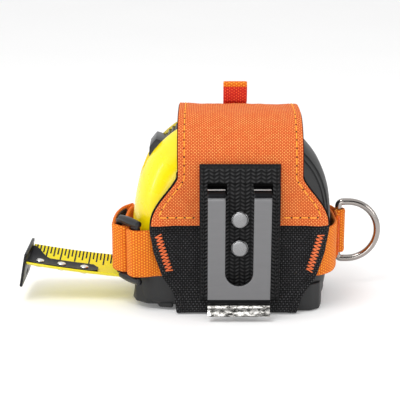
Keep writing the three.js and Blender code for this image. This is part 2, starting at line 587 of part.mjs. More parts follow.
const wireCurve = new THREE.CatmullRomCurve3([[0, -RING_HALF + 1.6], [0, 0], [0, RING_HALF - 1.6],
  [1.6, RING_HALF], ...arc(RING_STRAIGHT, 0, RING_HALF, 90, -90, 8), [1.6, -RING_HALF]].map(([a, b]) =>
  new THREE.Vector3(RING_BAR[0] + a, RING_BAR[1], RING_Z + b)), true, "centripetal");
const wireSection = new THREE.Shape().absarc(0, 0, RING_WIRE, 0, 2 * Math.PI, false);
const wire = { steps: 40, extrudePath: wireCurve, curveSegments: 4 };
add("d_ring", new THREE.ExtrudeGeometry(wireSection, wire), "chrome");

export default pouch;
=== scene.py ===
import math

import bmesh
import bpy
import numpy as np
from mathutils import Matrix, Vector


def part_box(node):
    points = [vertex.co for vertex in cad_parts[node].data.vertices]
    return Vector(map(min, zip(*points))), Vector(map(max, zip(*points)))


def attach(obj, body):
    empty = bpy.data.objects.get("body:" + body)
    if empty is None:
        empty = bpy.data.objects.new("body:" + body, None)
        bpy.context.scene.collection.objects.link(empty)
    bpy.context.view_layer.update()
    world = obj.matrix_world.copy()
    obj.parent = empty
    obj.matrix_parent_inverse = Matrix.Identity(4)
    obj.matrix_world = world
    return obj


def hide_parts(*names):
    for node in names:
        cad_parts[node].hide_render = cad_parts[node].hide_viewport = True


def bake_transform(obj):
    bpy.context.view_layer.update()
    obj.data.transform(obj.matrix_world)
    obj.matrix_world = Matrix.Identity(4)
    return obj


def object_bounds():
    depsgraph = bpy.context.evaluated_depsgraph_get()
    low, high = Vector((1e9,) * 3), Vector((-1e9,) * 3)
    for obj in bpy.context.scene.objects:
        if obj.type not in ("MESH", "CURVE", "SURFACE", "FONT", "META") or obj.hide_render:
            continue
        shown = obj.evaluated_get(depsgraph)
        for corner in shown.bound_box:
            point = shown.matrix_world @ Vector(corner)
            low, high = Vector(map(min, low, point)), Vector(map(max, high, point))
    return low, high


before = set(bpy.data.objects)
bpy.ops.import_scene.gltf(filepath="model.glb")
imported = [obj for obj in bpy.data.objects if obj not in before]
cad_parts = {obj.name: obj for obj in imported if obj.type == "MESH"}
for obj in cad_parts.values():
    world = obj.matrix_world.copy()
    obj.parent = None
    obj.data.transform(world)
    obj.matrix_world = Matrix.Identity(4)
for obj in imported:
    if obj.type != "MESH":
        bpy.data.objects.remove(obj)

# A tape measure in its woven belt pouch. Lengths in this script are in millimetres, and
# mesh_object() turns them into metres. +Z is up, the belt clip faces -Y, the blade points to -X.
CAD_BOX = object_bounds()
MM = 0.001
rng = np.random.default_rng(7)


def span(node):
    """A CAD node's lowest and highest corner, in millimetres."""
    low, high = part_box(node)
    return np.array(low) / MM, np.array(high) / MM


# ---- Node materials ----
class Nodes:
    """A node tree with short calls for the nodes that it is made of."""

    def __init__(self, tree):
        self.tree = tree

    def node(self, kind, settings=(), **inputs):
        """A new node. An input goes by its own name, or by its place as i0, i1 and so on."""
        made = self.tree.nodes.new(kind)
        for key, value in dict(settings).items():
            setattr(made, key, value)
        for key, value in inputs.items():
            by_place = key[0] == "i" and key[1:].isdigit()
            self.put(value, made.inputs[int(key[1:]) if by_place else key.replace("_", " ")])
        return made

    def put(self, value, socket):
        if isinstance(value, bpy.types.NodeSocket):
            self.tree.links.new(value, socket)
        else:
            socket.default_value = value

    def math(self, operation, a, b=0.0, c=0.0):
        return self.node("ShaderNodeMath", {"operation": operation}, i0=a, i1=b, i2=c).outputs[0]

    def map(self, value, low, high, to_low, to_high, kind="LINEAR"):
        made = self.node("ShaderNodeMapRange", {"interpolation_type": kind}, Value=value,
                         From_Min=low, From_Max=high, To_Min=to_low, To_Max=to_high)
        return made.outputs[0]


class Look(Nodes):
    """A material, with the patterns that its colour, gloss and height are made of."""

    def __init__(self, name, **shader):
        self.material = bpy.data.materials.new(name)
        self.material.use_nodes = True
        super().__init__(self.material.node_tree)
        self.shader = self.tree.nodes["Principled BSDF"]
        for key, value in shader.items():
            self.shader.inputs[key.replace("_", " ")].default_value = value

    def place(self):
        return self.node("ShaderNodeTexCoord").outputs["Object"]

    def stretched(self, by):
        """Places scaled along each axis, so that a noise over them runs in lines."""
        made = self.node("ShaderNodeVectorMath", {"operation": "MULTIPLY"}, i0=self.place(), i1=by)
        return made.outputs[0]

    def noise(self, scale, detail=3.0, rough=0.5, at=None):
        made = self.node("ShaderNodeTexNoise", Scale=scale, Detail=detail, Roughness=rough)
        self.put(self.place() if at is None else at, made.inputs["Vector"])
        return made.outputs["Fac"]

    def flat(self):
        """The cloth's own flat coordinates, in millimetres, as (along, across) sockets."""
        cloth = self.node("ShaderNodeAttribute", {"attribute_name": "flat"}).outputs["Vector"]
        parts = self.node("ShaderNodeSeparateXYZ", Vector=cloth)
        return parts.outputs[0], parts.outputs[1]

    def ridge(self):
        """How high a thick thread stands, 0 to 1, on cloth whose threads are modelled."""
        return self.node("ShaderNodeAttribute", {"attribute_name": "ridge"}).outputs["Fac"]

    def ramp(self, value, *stops):
        made = self.node("ShaderNodeValToRGB", Fac=value)
        while len(made.color_ramp.elements) < len(stops):
            made.color_ramp.elements.new(0.5)
        for element, (at, colour) in zip(made.color_ramp.elements, stops):
            element.position = at
            element.color = (*colour, 1.0)
        return made.outputs[0]

    def mix(self, share, a, b):
        made = self.node("ShaderNodeMix", {"data_type": "RGBA"})
        self.put(share, made.inputs[0])
        self.put(a if isinstance(a, bpy.types.NodeSocket) else (*a, 1.0), made.inputs[6])
        self.put(b if isinstance(b, bpy.types.NodeSocket) else (*b, 1.0), made.inputs[7])
        return made.outputs[2]

    def weave(self, pitch_u, pitch_v):
        """Height of a plain weave, 0 to 1, of threads that far apart."""
        u, v = self.flat()
        su = self.math("SINE", self.math("MULTIPLY", u, math.pi / pitch_u))
        sv = self.math("SINE", self.math("MULTIPLY", v, math.pi / pitch_v))
        over = self.math("MULTIPLY", su, sv)
        rise = self.math("MULTIPLY_ADD", over, 0.45, 0.55)
        fall = self.math("MULTIPLY_ADD", over, -0.45, 0.55)
        warp = self.math("MULTIPLY", self.math("ABSOLUTE", su), rise)
        weft = self.math("MULTIPLY", self.math("ABSOLUTE", sv), fall)
        return self.math("MAXIMUM", warp, weft), over

    def bump(self, height, distance, strength=1.0):
        made = self.node("ShaderNodeBump", Height=height, Strength=strength, Distance=distance * MM)
        self.put(made.outputs[0], self.shader.inputs["Normal"])

    def set(self, **sockets):
        for key, value in sockets.items():
            self.put(value, self.shader.inputs[key.replace("_", " ")])
        return self.material


def woven(name, pitch, low, middle, high, fuzz, depth, sheen=0.05, rough=0.85, gloss=0.2, crown_highlight=None,
          under_shade=0.0):
    """Cloth or webbing: colour and height follow the threads, with a soft uneven fuzz over them. The colour
    is painted darker in the gaps between threads as painted shade and lighter on the crowns as painted
    highlight.
    """
    look = Look(name, Sheen_Weight=sheen, Sheen_Roughness=0.5, Roughness=rough, Specular_IOR_Level=gloss)
    height, over = look.weave(*pitch)
    # painted shade and painted highlight: the thread colour runs from dark in the gaps to light on the crowns
    colour = look.ramp(height, (0.12, low), (0.5, middle), (0.95, high))
    if crown_highlight:  # painted highlight: the crowns of the crossing threads are lighter
        patchy = look.map(look.noise(420.0, 2.0, 0.5), 0.35, 0.65, 0.35, 1.0)
        colour = look.mix(look.math("MULTIPLY", look.map(over, 0.25, 0.85, 0.0, 1.0), patchy), colour, crown_highlight)
    if under_shade:  # painted shade: the threads that dive under are darker
        colour = look.mix(look.map(over, -0.75, -0.15, under_shade, 0.0), colour, low)
    worn = look.noise(90.0, 4.0, 0.6)
    colour = look.mix(look.map(worn, 0.35, 0.75, 0.0, fuzz), colour, high)
    # painted highlight: the crowns of modelled thick threads are lighter
    ridge_highlight = tuple(min(1.0, 1.5 * c + 0.04) for c in high)
    colour = look.mix(look.math("MULTIPLY", look.ridge(), 0.9), colour, ridge_highlight)
    fibre = look.noise(2600.0, 2.0, 0.6)
    look.bump(look.math("MULTIPLY_ADD", fibre, 0.18, height), depth, 0.9)
    return look.set(Base_Color=colour, Roughness=look.map(worn, 0.3, 0.7, rough - 0.12, rough + 0.08))


def moulded(name, colour, rough, grain, depth, coat=0.0, wear=0.0, worn_colour=None):
    """Moulded plastic or rubber with a fine grain, uneven gloss and lighter scuffs."""
    look = Look(name, Coat_Weight=coat, Coat_Roughness=0.08, Specular_IOR_Level=0.45)
    fine = look.noise(grain, 3.0, 0.55)
    broad = look.noise(55.0, 5.0, 0.6)
    scuffs = look.map(broad, 0.56, 0.72, 0.0, wear)
    base = look.mix(look.map(fine, 0.35, 0.65, 0.0, 0.12), colour, tuple(c * 0.8 for c in colour))
    base = look.mix(scuffs, base, worn_colour or tuple(min(1.0, c * 1.6 + 0.02) for c in colour))
    look.bump(fine, depth, 0.5)
    return look.set(Base_Color=base, Roughness=look.map(broad, 0.3, 0.7, rough - 0.06, rough + 0.1))


def metal(name, colour, rough, lines, stretch, mark, depth):
    """Bare metal with rolling lines or polish haze, and faint finger marks."""
    look = Look(name, Metallic=1.0)
    drawn = look.noise(lines, 4.0, 0.65, look.stretched(stretch))
    marks = look.noise(70.0, 5.0, 0.6)
    base = look.mix(look.map(drawn, 0.3, 0.7, 0.0, mark), colour, tuple(c * 0.72 for c in colour))
    look.bump(drawn, depth, 0.4)
    haze = look.map(drawn, 0.3, 0.7, rough - 0.04, rough + 0.05)
    gloss = look.math("ADD", haze, look.map(marks, 0.4, 0.75, 0.0, 0.09))
    return look.set(Base_Color=base, Roughness=gloss)


def plated(name):
    """Bright plating over rough steel: mottled, with dark specks."""
    look = Look(name, Metallic=1.0)
    blotch = look.noise(520.0, 5.0, 0.75, look.stretched((0.8, 1.0, 1.5)))
    base = look.ramp(blotch, (0.40, (0.02, 0.019, 0.018)), (0.48, (0.35, 0.34, 0.32)),
                     (0.57, (0.98, 0.96, 0.92)))
    look.bump(blotch, 0.10, 0.6)
    return look.set(Base_Color=base, Roughness=look.map(blotch, 0.35, 0.65, 0.42, 0.22))


LOOKS = {
    "orange_cloth": woven("orange_cloth", (0.72, 0.66), (0.34, 0.013, 0.004), (0.84, 0.135, 0.032),
                          (0.97, 0.31, 0.085), 0.06, 0.26, 0.02, 0.85, 0.10, (1.0, 0.58, 0.17), 0.42),
    "orange_webbing": woven("orange_webbing", (1.05, 0.60), (0.40, 0.020, 0.002), (0.92, 0.185, 0.009),
                            (1.0, 0.35, 0.03), 0.08, 0.26, crown_highlight=(1.0, 0.50, 0.05), under_shade=0.5),
    # The pull tab's red webbing, darkened further as painted shade
    "red_webbing_painted_shade": woven("red_webbing_painted_shade", (0.95, 0.62), (0.32, 0.006, 0.006), (0.82, 0.028, 0.026),
                         (0.92, 0.09, 0.04), 0.05, 0.24, crown_highlight=(1.0, 0.22, 0.06), under_shade=0.45),
    "black_cloth": woven("black_cloth", (0.78, 0.95), (0.0008, 0.0008, 0.0009), (0.0045, 0.0045, 0.005),
                         (0.028, 0.028, 0.030), 0.06, 0.40, 0.0, 0.80, crown_highlight=(0.095, 0.095, 0.098)),
    "black_webbing": woven("black_webbing", (0.55, 0.55), (0.0008, 0.0008, 0.0009), (0.003, 0.003, 0.0035),
                           (0.020, 0.020, 0.021), 0.12, 0.14, 0.0, 0.80),
    "lining": woven("lining", (0.5, 0.5), (0.001, 0.001, 0.002), (0.004, 0.004, 0.006),
                    (0.012, 0.012, 0.016), 0.10, 0.10, 0.0, 0.9),
    "hook_tape": woven("hook_tape", (0.6, 0.5), (0.002, 0.002, 0.002), (0.006, 0.006, 0.007),
                       (0.025, 0.025, 0.027), 0.3, 0.3, 0.0, 0.75),
    "yellow": moulded("yellow_shell", (0.93, 0.72, 0.0005), 0.24, 700.0, 0.010, coat=0.12, wear=0.10,
                      worn_colour=(0.86, 0.58, 0.001)),
    "rubber": moulded("rubber_grip", (0.0125, 0.0128, 0.0135), 0.50, 1500.0, 0.045, wear=0.30,
                      worn_colour=(0.030, 0.030, 0.032)),
    "plastic": moulded("black_plastic", (0.0085, 0.0088, 0.0105), 0.34, 1200.0, 0.025, wear=0.28,
                       worn_colour=(0.030, 0.030, 0.034)),
    "inner_plastic": moulded("inner_plastic", (0.025, 0.025, 0.028), 0.45, 900.0, 0.02, wear=0.15),
    "steel": metal("satin_steel", (0.188, 0.188, 0.193), 0.34, 420.0, (0.25, 1.0, 1.6), 0.12, 0.004),
    # Painted highlight and painted shade for the belt clip: bright steel for the lit band on its top bend,
    # near-black steel for the dark reflections beside it and above the lip
    "painted_highlight_steel": metal("bend_painted_highlight", (0.92, 0.91, 0.89), 0.55, 500.0, (0.3, 1.0, 1.0), 0.15, 0.004),
    "painted_shade_steel": metal("bend_painted_shade", (0.012, 0.012, 0.013), 0.32, 500.0, (0.3, 1.0, 1.0), 0.10, 0.002),
    "lip_steel": plated("lip_chrome"),
    "nickel": metal("nickel", (0.27, 0.27, 0.275), 0.24, 600.0, (1.0, 1.0, 1.0), 0.2, 0.008),
    "chrome": metal("ring_chrome", (0.36, 0.33, 0.31), 0.09, 300.0, (1.0, 1.0, 0.4), 0.18, 0.004),
    "rivet": metal("hook_rivet", (0.80, 0.79, 0.76), 0.24, 800.0, (1.0, 1.0, 1.0), 0.25, 0.008),
    "black_steel": metal("black_steel", (0.030, 0.030, 0.032), 0.38, 700.0, (1.0, 0.4, 1.0), 0.3, 0.008),
    "spring_steel": metal("spring_steel", (0.30, 0.31, 0.33), 0.35, 900.0, (0.2, 3.0, 0.2), 0.4, 0.02),
    "blade": moulded("blade_paint", (0.88, 0.76, 0.0005), 0.42, 1600.0, 0.010, wear=0.18,
                     worn_colour=(0.70, 0.62, 0.02)),
    "ink": moulded("blade_ink", (0.010, 0.010, 0.011), 0.42, 2600.0, 0.01, wear=0.3,
                   worn_colour=(0.05, 0.045, 0.02)),
    "thread": moulded("orange_thread", (1.0, 0.42, 0.04), 0.6, 5200.0, 0.06, wear=0.3,
                      worn_colour=(1.0, 0.52, 0.14)),
    "bartack": moulded("bartack_thread", (0.86, 0.17, 0.045), 0.6, 5200.0, 0.06, wear=0.25,
                       worn_colour=(0.95, 0.34, 0.13)),
    "black_thread": moulded("black_thread", (0.012, 0.012, 0.013), 0.6, 5200.0, 0.06, wear=0.2),
    # Painted shade: dark dots stand in for the shade inside the needle holes
    "hole": moulded("needle_hole_painted_shade", (0.030, 0.004, 0.001), 0.9, 3000.0, 0.02),
}


# ---- Mesh helpers ----
def mesh_object(name, points, faces, look, flat=None, sharp=None):
    mesh = bpy.data.meshes.new(name)
    mesh.from_pydata((np.asarray(points, float) * MM).tolist(), [], faces)
    if flat is not None:
        attribute = mesh.attributes.new("flat", "FLOAT_VECTOR", "POINT")
        flat = np.asarray(flat, np.float32)
        attribute.data.foreach_set("vector", np.column_stack([flat, np.zeros(len(flat), np.float32)]).ravel())
    mesh.materials.append(LOOKS[look])
    mesh.validate()
    mesh.shade_smooth()
    if sharp is not None:
        mesh.set_sharp_from_angle(angle=math.radians(sharp))
    made = bpy.data.objects.new(name, mesh)
    bpy.context.scene.collection.objects.link(made)
    return made


def settle(obj, sharp=None):
    """Applies the object's modifiers."""
    bpy.context.view_layer.update()
    shape = obj.evaluated_get(bpy.context.evaluated_depsgraph_get())
    made = bpy.data.meshes.new_from_object(shape)
    obj.modifiers.clear()
    obj.data = made
    made.shade_smooth()
    if sharp is not None:
        made.set_sharp_from_angle(angle=math.radians(sharp))
    return obj


def bevel(obj, width, segments=2, angle=40, sharp=None):
    made = obj.modifiers.new("bevel", "BEVEL")
    made.width = width * MM
    made.segments = segments
    made.limit_method = "ANGLE"
    made.angle_limit = math.radians(angle)
    return settle(obj, sharp)


def cut(obj, other, operation="DIFFERENCE", keep=False):
    made = obj.modifiers.new("cut", "BOOLEAN")
    made.object = other
    made.operation = operation
    made.solver = "EXACT"
    settle(obj)
    if not keep:
        bpy.data.objects.remove(other)
    return obj


def smoothstep(low, high, value):
    t = np.clip((np.asarray(value, float) - low) / (high - low), 0, 1)
    return t * t * (3 - 2 * t)


def bell(distance, width, height=1.0):
    """A smooth hump of that height, over a few widths."""
    return height * math.exp(-(distance / width) ** 2)


def run_along(points):
    """How far along a line each of its points lies."""
    return np.concatenate([[0], np.cumsum(np.linalg.norm(np.diff(points, axis=0), axis=1))])


def at_run(where, run, values):
    """The values that go with a line's points, read at those distances along it."""
    return np.column_stack([np.interp(where, run, values[:, k]) for k in range(values.shape[1])])


def resample(points, spacing):
    """The same line with points that far apart, close to evenly."""
    points = np.asarray(points, float)
    run = run_along(points)
    count = max(2, int(round(run[-1] / spacing)) + 1)
    return at_run(np.linspace(0, run[-1], count), run, points)


def smooth(points, spacing):
    """A centripetal curve through a few points."""
    p = np.asarray(points, float)
    p = np.vstack([2 * p[0] - p[1], p, 2 * p[-1] - p[-2]])
    out = []
    for i in range(1, len(p) - 2):
        a, b, c, d = p[i - 1], p[i], p[i + 1], p[i + 2]
        t0 = 0.0
        t1 = t0 + np.linalg.norm(b - a) ** 0.5
        t2 = t1 + np.linalg.norm(c - b) ** 0.5
        t3 = t2 + np.linalg.norm(d - c) ** 0.5
        for t in np.linspace(t1, t2, 24, endpoint=i == len(p) - 3):
            ab = (t1 - t) / (t1 - t0) * a + (t - t0) / (t1 - t0) * b
            bc = (t2 - t) / (t2 - t1) * b + (t - t1) / (t2 - t1) * c
            cd = (t3 - t) / (t3 - t2) * c + (t - t2) / (t3 - t2) * d
            abc = (t2 - t) / (t2 - t0) * ab + (t - t0) / (t2 - t0) * bc
            bcd = (t3 - t) / (t3 - t1) * bc + (t - t1) / (t3 - t1) * cd
            out.append((t2 - t) / (t2 - t1) * abc + (t - t1) / (t2 - t1) * bcd)
    return resample(out, spacing)


def arc(cx, cy, radius, start, end, steps):
    angle = np.radians(np.linspace(start, end, steps + 1))
    return [(cx + radius * math.cos(a), cy + radius * math.sin(a)) for a in angle]


def normals_2d(line):
    """Unit normals of a 2-D line, to the right of its direction."""
    line = np.asarray(line, float)
    along = np.gradient(line, axis=0)
    along /= np.linalg.norm(along, axis=1)[:, None]
    return np.column_stack([along[:, 1], -along[:, 0]])


def shell(name, outer, inner, look, flat, edge=0.35, keep=None, sharp=50, ridge=None):
    """A closed thin shell between two grids of points of the same size, [row, column, xyz]."""
    rows, columns = outer.shape[:2]
    count = rows * columns
    points = np.concatenate([outer.reshape(-1, 3), inner.reshape(-1, 3)])
    used = np.ones((rows - 1, columns - 1), bool) if keep is None else keep
    index = np.arange(count).reshape(rows, columns)
    faces = []
    for r, c in zip(*np.nonzero(used)):
        a, b, d, e = index[r, c], index[r, c + 1], index[r + 1, c + 1], index[r + 1, c]
        faces.append((a, b, d, e))
        faces.append((a + count, e + count, d + count, b + count))
        for dr, dc, p, q in ((-1, 0, a, b), (0, 1, b, d), (1, 0, d, e), (0, -1, e, a)):
            r2, c2 = r + dr, c + dc
            if not (0 <= r2 < rows - 1 and 0 <= c2 < columns - 1 and used[r2, c2]):
                faces.append((q, p, p + count, q + count))
    faces = [tuple(int(i) for i in f) for f in faces]
    if keep is not None:
        ids = np.unique(np.array(faces))
        renumber = np.full(len(points), -1)
        renumber[ids] = np.arange(len(ids))
        points = points[ids]
        faces = [tuple(int(renumber[i]) for i in f) for f in faces]
        both = np.concatenate([flat.reshape(-1, 2)] * 2)[ids]
    else:
        ids = np.arange(len(points))
        both = np.concatenate([flat.reshape(-1, 2)] * 2)
    made = mesh_object(name, points, faces, look, both)
    if ridge is not None:
        high = np.concatenate([ridge.ravel(), np.zeros(count)])[ids].astype(np.float32)
        made.data.attributes.new("ridge", "FLOAT", "POINT").data.foreach_set("value", high)
    fix_normals(made)
    return bevel(made, edge, 2, 50, sharp) if edge else made


def fix_normals(obj):
    work = bmesh.new()
    work.from_mesh(obj.data)
    bmesh.ops.recalc_face_normals(work, faces=work.faces)
    if work.calc_volume(signed=True) < 0:
        bmesh.ops.reverse_faces(work, faces=work.faces)
    work.to_mesh(obj.data)
    work.free()
    return obj


def ring_faces(base, rings, sides, closed=False):
    """Faces between rings of points that follow one another, with a cap at both ends unless closed."""
    faces = []
    for k in range(rings if closed else rings - 1):
        here, there = base + k * sides, base + (k + 1) % rings * sides
        for j in range(sides):
            n = (j + 1) % sides
            faces.append((here + j, here + n, there + n, there + j))
    if not closed:
        faces.append(tuple(base + j for j in reversed(range(sides))))
        faces.append(tuple(base + (rings - 1) * sides + j for j in range(sides)))
    return faces


def tubes(name, paths, radius, look, sides=8, closed=False):
    """Round tubes along one or more lines, in one mesh. radius is a number or one number for each point."""
    points, faces = [], []
    for path in paths:
        path = np.asarray(path, float)
        count = len(path)
        along = np.roll(path, -1, 0) - np.roll(path, 1, 0) if closed else np.gradient(path, axis=0)
        along /= np.linalg.norm(along, axis=1)[:, None]
        side = np.cross(along[0], (0.31, 0.17, 0.93))
        side /= np.linalg.norm(side)
        base = len(points)
        sizes = np.broadcast_to(radius, (count,))
        for k in range(count):
            side = side - along[k] * side.dot(along[k])
            side /= np.linalg.norm(side)
            up = np.cross(along[k], side)
            for j in range(sides):
                turn = 2 * math.pi * j / sides
                points.append(path[k] + sizes[k] * (math.cos(turn) * side + math.sin(turn) * up))
        faces += ring_faces(base, count, sides, closed)
    return fix_normals(mesh_object(name, points, faces, look))


def prism(name, outline, axis, low, high, look, width=0.3, segments=2, angle=30, sharp=40):
    """An outline in the other two axes, X before Y before Z, run from low to high, with soft edges."""
    outline = np.asarray(outline, float)
    count = len(outline)
    others = [k for k in range(3) if k != axis]
    points = np.zeros((2 * count, 3))
    points[:count, others] = outline
    points[count:, others] = outline
    points[:count, axis], points[count:, axis] = low, high
    faces = [tuple(range(count)), tuple(range(2 * count - 1, count - 1, -1))]
    faces += [(i, (i + 1) % count, (i + 1) % count + count, i + count) for i in range(count)]
    made = fix_normals(mesh_object(name, points, faces, look))
    return bevel(made, width, segments, angle, sharp) if width else made


def lathe(name, profile, centres, look, place, sides=40):
    """Turned pieces, closed, each placed by place(centre, r cos, r sin, height)."""
    points, faces = [], []
    for centre in centres:
        base = len(points)
        for r, h in profile:
            for j in range(sides):
                turn = 2 * math.pi * j / sides
                points.append(place(centre, r * math.cos(turn), r * math.sin(turn), h))
        faces += ring_faces(base, len(profile), sides)
    return fix_normals(mesh_object(name, points, faces, look, sharp=38))


STITCH_START = 0.6  # from the seam's end to its first stitch
STITCH_RISE = 0.30
STITCH_SINK = 0.12


def thread_paths(line, normal, pitch, length):
    """Separate stitches along a line that lies on a surface with those normals."""
    line, normal = np.asarray(line, float), np.asarray(normal, float)
    run = run_along(line)
    paths, holes = [], []
    at = STITCH_START
    while at + length < run[-1]:
        t = np.linspace(0, 1, 7)
        where = at + t * length
        height = (np.sin(t * math.pi) ** 0.6) * STITCH_RISE - STITCH_SINK
        paths.append(at_run(where, run, line) + at_run(where, run, normal) * height[:, None])
        where = [at + length + (pitch - length) / 2]
        holes.append((at_run(where, run, line)[0], at_run(where, run, normal)[0]))
        at += pitch
    return paths, holes


def sewn(name, rows, body_call, thread="thread", pitch=3.55, length=2.6, radius=0.26, hole=0.40):
    """Stitches and needle holes along rows of (line, normals). body_call says what they move with."""
    paths, holes = [], []
    for line, normal in rows:
        found = thread_paths(line, normal, pitch, length)
        paths += found[0]
        holes += found[1]
    made = tubes(name, paths, radius, thread, 6)
    body_call(made)
    if hole:
        def put(centre, a, b, h):
            point, up = (np.asarray(v, float) for v in centre)
            side = np.cross(up, (0.2, 0.1, 0.97))
            side /= np.linalg.norm(side)
            return point + a * side + b * np.cross(up, side) + h * up
        # dark dots of painted shade at the needle holes
        profile = [(hole * 0.9, -0.15), (hole, 0.02), (hole * 0.7, 0.07), (hole * 0.2, 0.02)]
        dots = lathe(name + "_holes", profile, holes, "hole", put, 10)
        body_call(dots)
    return made


def rides(body):
    def call(obj):
        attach(obj, body)
        return obj
    return call


# ---- Sizes that follow the CAD model ----
GAP = 0.3
CASE_X, CASE_Z = -2.5, 42.0
CASE_FLAT, CASE_HALF_DEPTH = 8.0, 22.5
CROWN_FLAT = 4.5  # the rim is level this far each side of the middle, then rounds off
FACE_X_SCALE = 0.74
CASE_BOTTOM, CASE_TOP, FACE_BOTTOM, FACE_TOP = 1.7, 82.0, 4.5, 66.0
PANEL_Y = 24.0  # outer face of the black panels
COVER_Y = 25.5  # outer face of the orange cover
HINGE_Z = span("back_yoke")[1][2] + GAP / 2
COVER_HALF = (span("flap")[1][0] - span("flap")[0][0]) / 2
COVER_BOTTOM = span("back_yoke")[0][2]
COVER_FLARE = 36.3
FLARE_TOP = 58.0
BLACK_EDGE = 0.6
PANEL_TOP = span("back_panel")[1][2]


def cover_half(z):
    t = np.clip((FLARE_TOP - np.asarray(z, float)) / (FLARE_TOP - COVER_BOTTOM), 0, 1)
    return COVER_HALF + (COVER_FLARE - COVER_HALF) * np.sin(t * math.pi / 2) ** 1.3


def panel_half(z):
    """Half width of the black cloth: narrow at the foot, a little wider than the orange cover above."""
    low = np.interp(z, [0, 7, 16, 26, 36, COVER_BOTTOM],
                    [24.8, 26.4, 31.8, 35.2, 37, COVER_FLARE + BLACK_EDGE])
    return np.where(np.asarray(z) < COVER_BOTTOM, low, cover_half(z) + BLACK_EDGE)


def drape(x):
    """How far the panels' wings fall back with the case's rounded sides."""
    x = np.asarray(x, float)
    rim = np.where(x > 0, 40.0, -45.0)
    face = CASE_X + (rim - CASE_X) * FACE_X_SCALE
    t = np.clip((x - face) / (rim - face), 0, 1)
    return 0.6 * (CASE_HALF_DEPTH - CASE_FLAT) * (1 - np.sqrt(1 - t * t))


def lift(x, z):
    """The wings stand off where the side straps run under them."""
    return 1.5 * smoothstep(26, 33, np.abs(x)) * smoothstep(9, 15, z) * (1 - smoothstep(36.5, 43, z))


def ripple(a, b):
    """A soft unevenness of hand-sewn cloth."""
    return (0.10 * np.sin(a * 0.23 + 1.3) * np.sin(b * 0.19 + 0.4) + 0.06 * np.sin(a * 0.61 + b * 0.37)
            + 0.04 * np.sin(a * 1.13 - b * 0.83 + 2.0))


def cloth_grid(point, half_at, rows, pitch, columns, sink, grow=0.0):
    """A cloth's points and its flat coordinates. point(x, row, sink) is a place on it."""
    grid = np.zeros((rows, columns + 1, 3))
    flat = np.zeros((rows, columns + 1, 2))
    for r in range(rows):
        half = half_at(r) + grow
        for c, u in enumerate(np.linspace(-1, 1, columns + 1)):
            grid[r, c] = point(u * half, r, sink)
            flat[r, c] = (u * half, r * pitch)
    return grid, flat


# ---- Orange cover: the yoke on the back and the flap over the top, one cloth ----
arch = smooth([(-24.9, 65.15), (-24.5, 68.3), (-22.2, 73.5), (-17.8, 79), (-11.5, 82.5), (-4, 83.7),
               (4, 83.7), (11.5, 82.5), (17.8, 79), (22.6, 73.5), (25.4, 67), (26.8, 61), (27.1, 50)], 0.5)
arch = arch - normals_2d(arch) * 0.6
COVER_PITCH = 0.85  # from one row of the cloth's points to the next
cover_line = resample(np.vstack([[(-COVER_Y, COVER_BOTTOM), (-COVER_Y, 63.5)], arch]), COVER_PITCH)
cover_out = -normals_2d(cover_line)
cover_run = np.arange(len(cover_line)) * COVER_PITCH
COVER_LENGTH = cover_run[-1]
TOP_RUN = cover_run[np.argmax(cover_line[:, 1])]
HEM, FOOT_HEM, END_HEM = 2.6, 3.3, 3.0  # from the edge to the seam: sides, foot and flap's end
YOKE_RUN = HINGE_Z - COVER_BOTTOM + 1  # run of the cover's flat part, below the fold
LINING_GROW = 0.35  # the lining shows this far past the cover's sides


def cover_half_at(row):
    return cover_half(cover_line[row, 1]) if row * COVER_PITCH < YOKE_RUN else COVER_HALF


def cover_point(x, row, sink=0.0):
    """A point of the cover, x across and row along it. sink is how far it is outside the outer face."""
    y, z = cover_line[row]
    ny, nz = cover_out[row]
    run = row * COVER_PITCH
    half = cover_half_at(row)
    inside = half - abs(x)
    yoke = 1 - smoothstep(FLARE_TOP, HINGE_Z, z) if run < YOKE_RUN + 4 else 0.0
    away = -float(drape(x)) * yoke + 0.9 * float(lift(x, z)) * yoke
    away += float(ripple(x, run)) * float(smoothstep(0, 6, inside))
    away += 0.22 * float(1 - smoothstep(3.4, 5.2, inside))  # the turned hem is double
    away -= bell(inside - HEM, 0.55, 0.22)  # the seams pull the cloth in
    away -= bell(run - FOOT_HEM, 0.6, 0.20)
    away -= bell(COVER_LENGTH - run - END_HEM, 0.6, 0.20)
    near_top = bell(run - TOP_RUN, 22)
    droop = (1.35 + 0.012 * (x + 25) + 0.32 * max(0.0, x - 24.3) ** 2) * near_top
    sideways = 0.45 * near_top * (1 - x / 60) + 0.2 * math.sin(row * 0.06 + 0.6) * (abs(x) / half) ** 3
    return np.array([x + sideways, y + ny * (away + sink), z + nz * (away + sink) - droop])


def cover_grid(sink, grow=0.0, columns=84):
    return cloth_grid(cover_point, cover_half_at, len(cover_line), COVER_PITCH, columns, sink, grow)


FOLD_START, FOLD_END = (0, -0.0249, 0.0640), (0, -0.0224, 0.06835)


def with_cover(obj):
    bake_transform(obj)
    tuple(FOLD_START)
    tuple(FOLD_END)
    return obj


outer, flat = cover_grid(0.0)
inner, _ = cover_grid(-0.62)
cover = shell("orange_cover", outer, inner, "orange_cloth", flat, 0.2)
outer, flat = cover_grid(-0.72, LINING_GROW, 60)
inner, _ = cover_grid(-1.15, LINING_GROW, 60)
lining = shell("cover_lining", outer, inner, "lining", flat, 0.12)
cover_area = sum(2 * cover_half_at(r) * COVER_PITCH for r in range(len(cover_line) - 1))
for piece in (cover, lining):
    with_cover(piece)
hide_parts("back_yoke", "flap")


def cover_seam(points):
    """A line over the cover through (x, row) pairs, with normals."""
    line, normal = [], []
    for x, row in points:
        row = int(round(np.clip(row, 0, len(cover_line) - 1)))
        line.append(cover_point(x, row, 0.02))
        normal.append((0, *cover_out[row]))
    return np.array(line), np.array(normal)


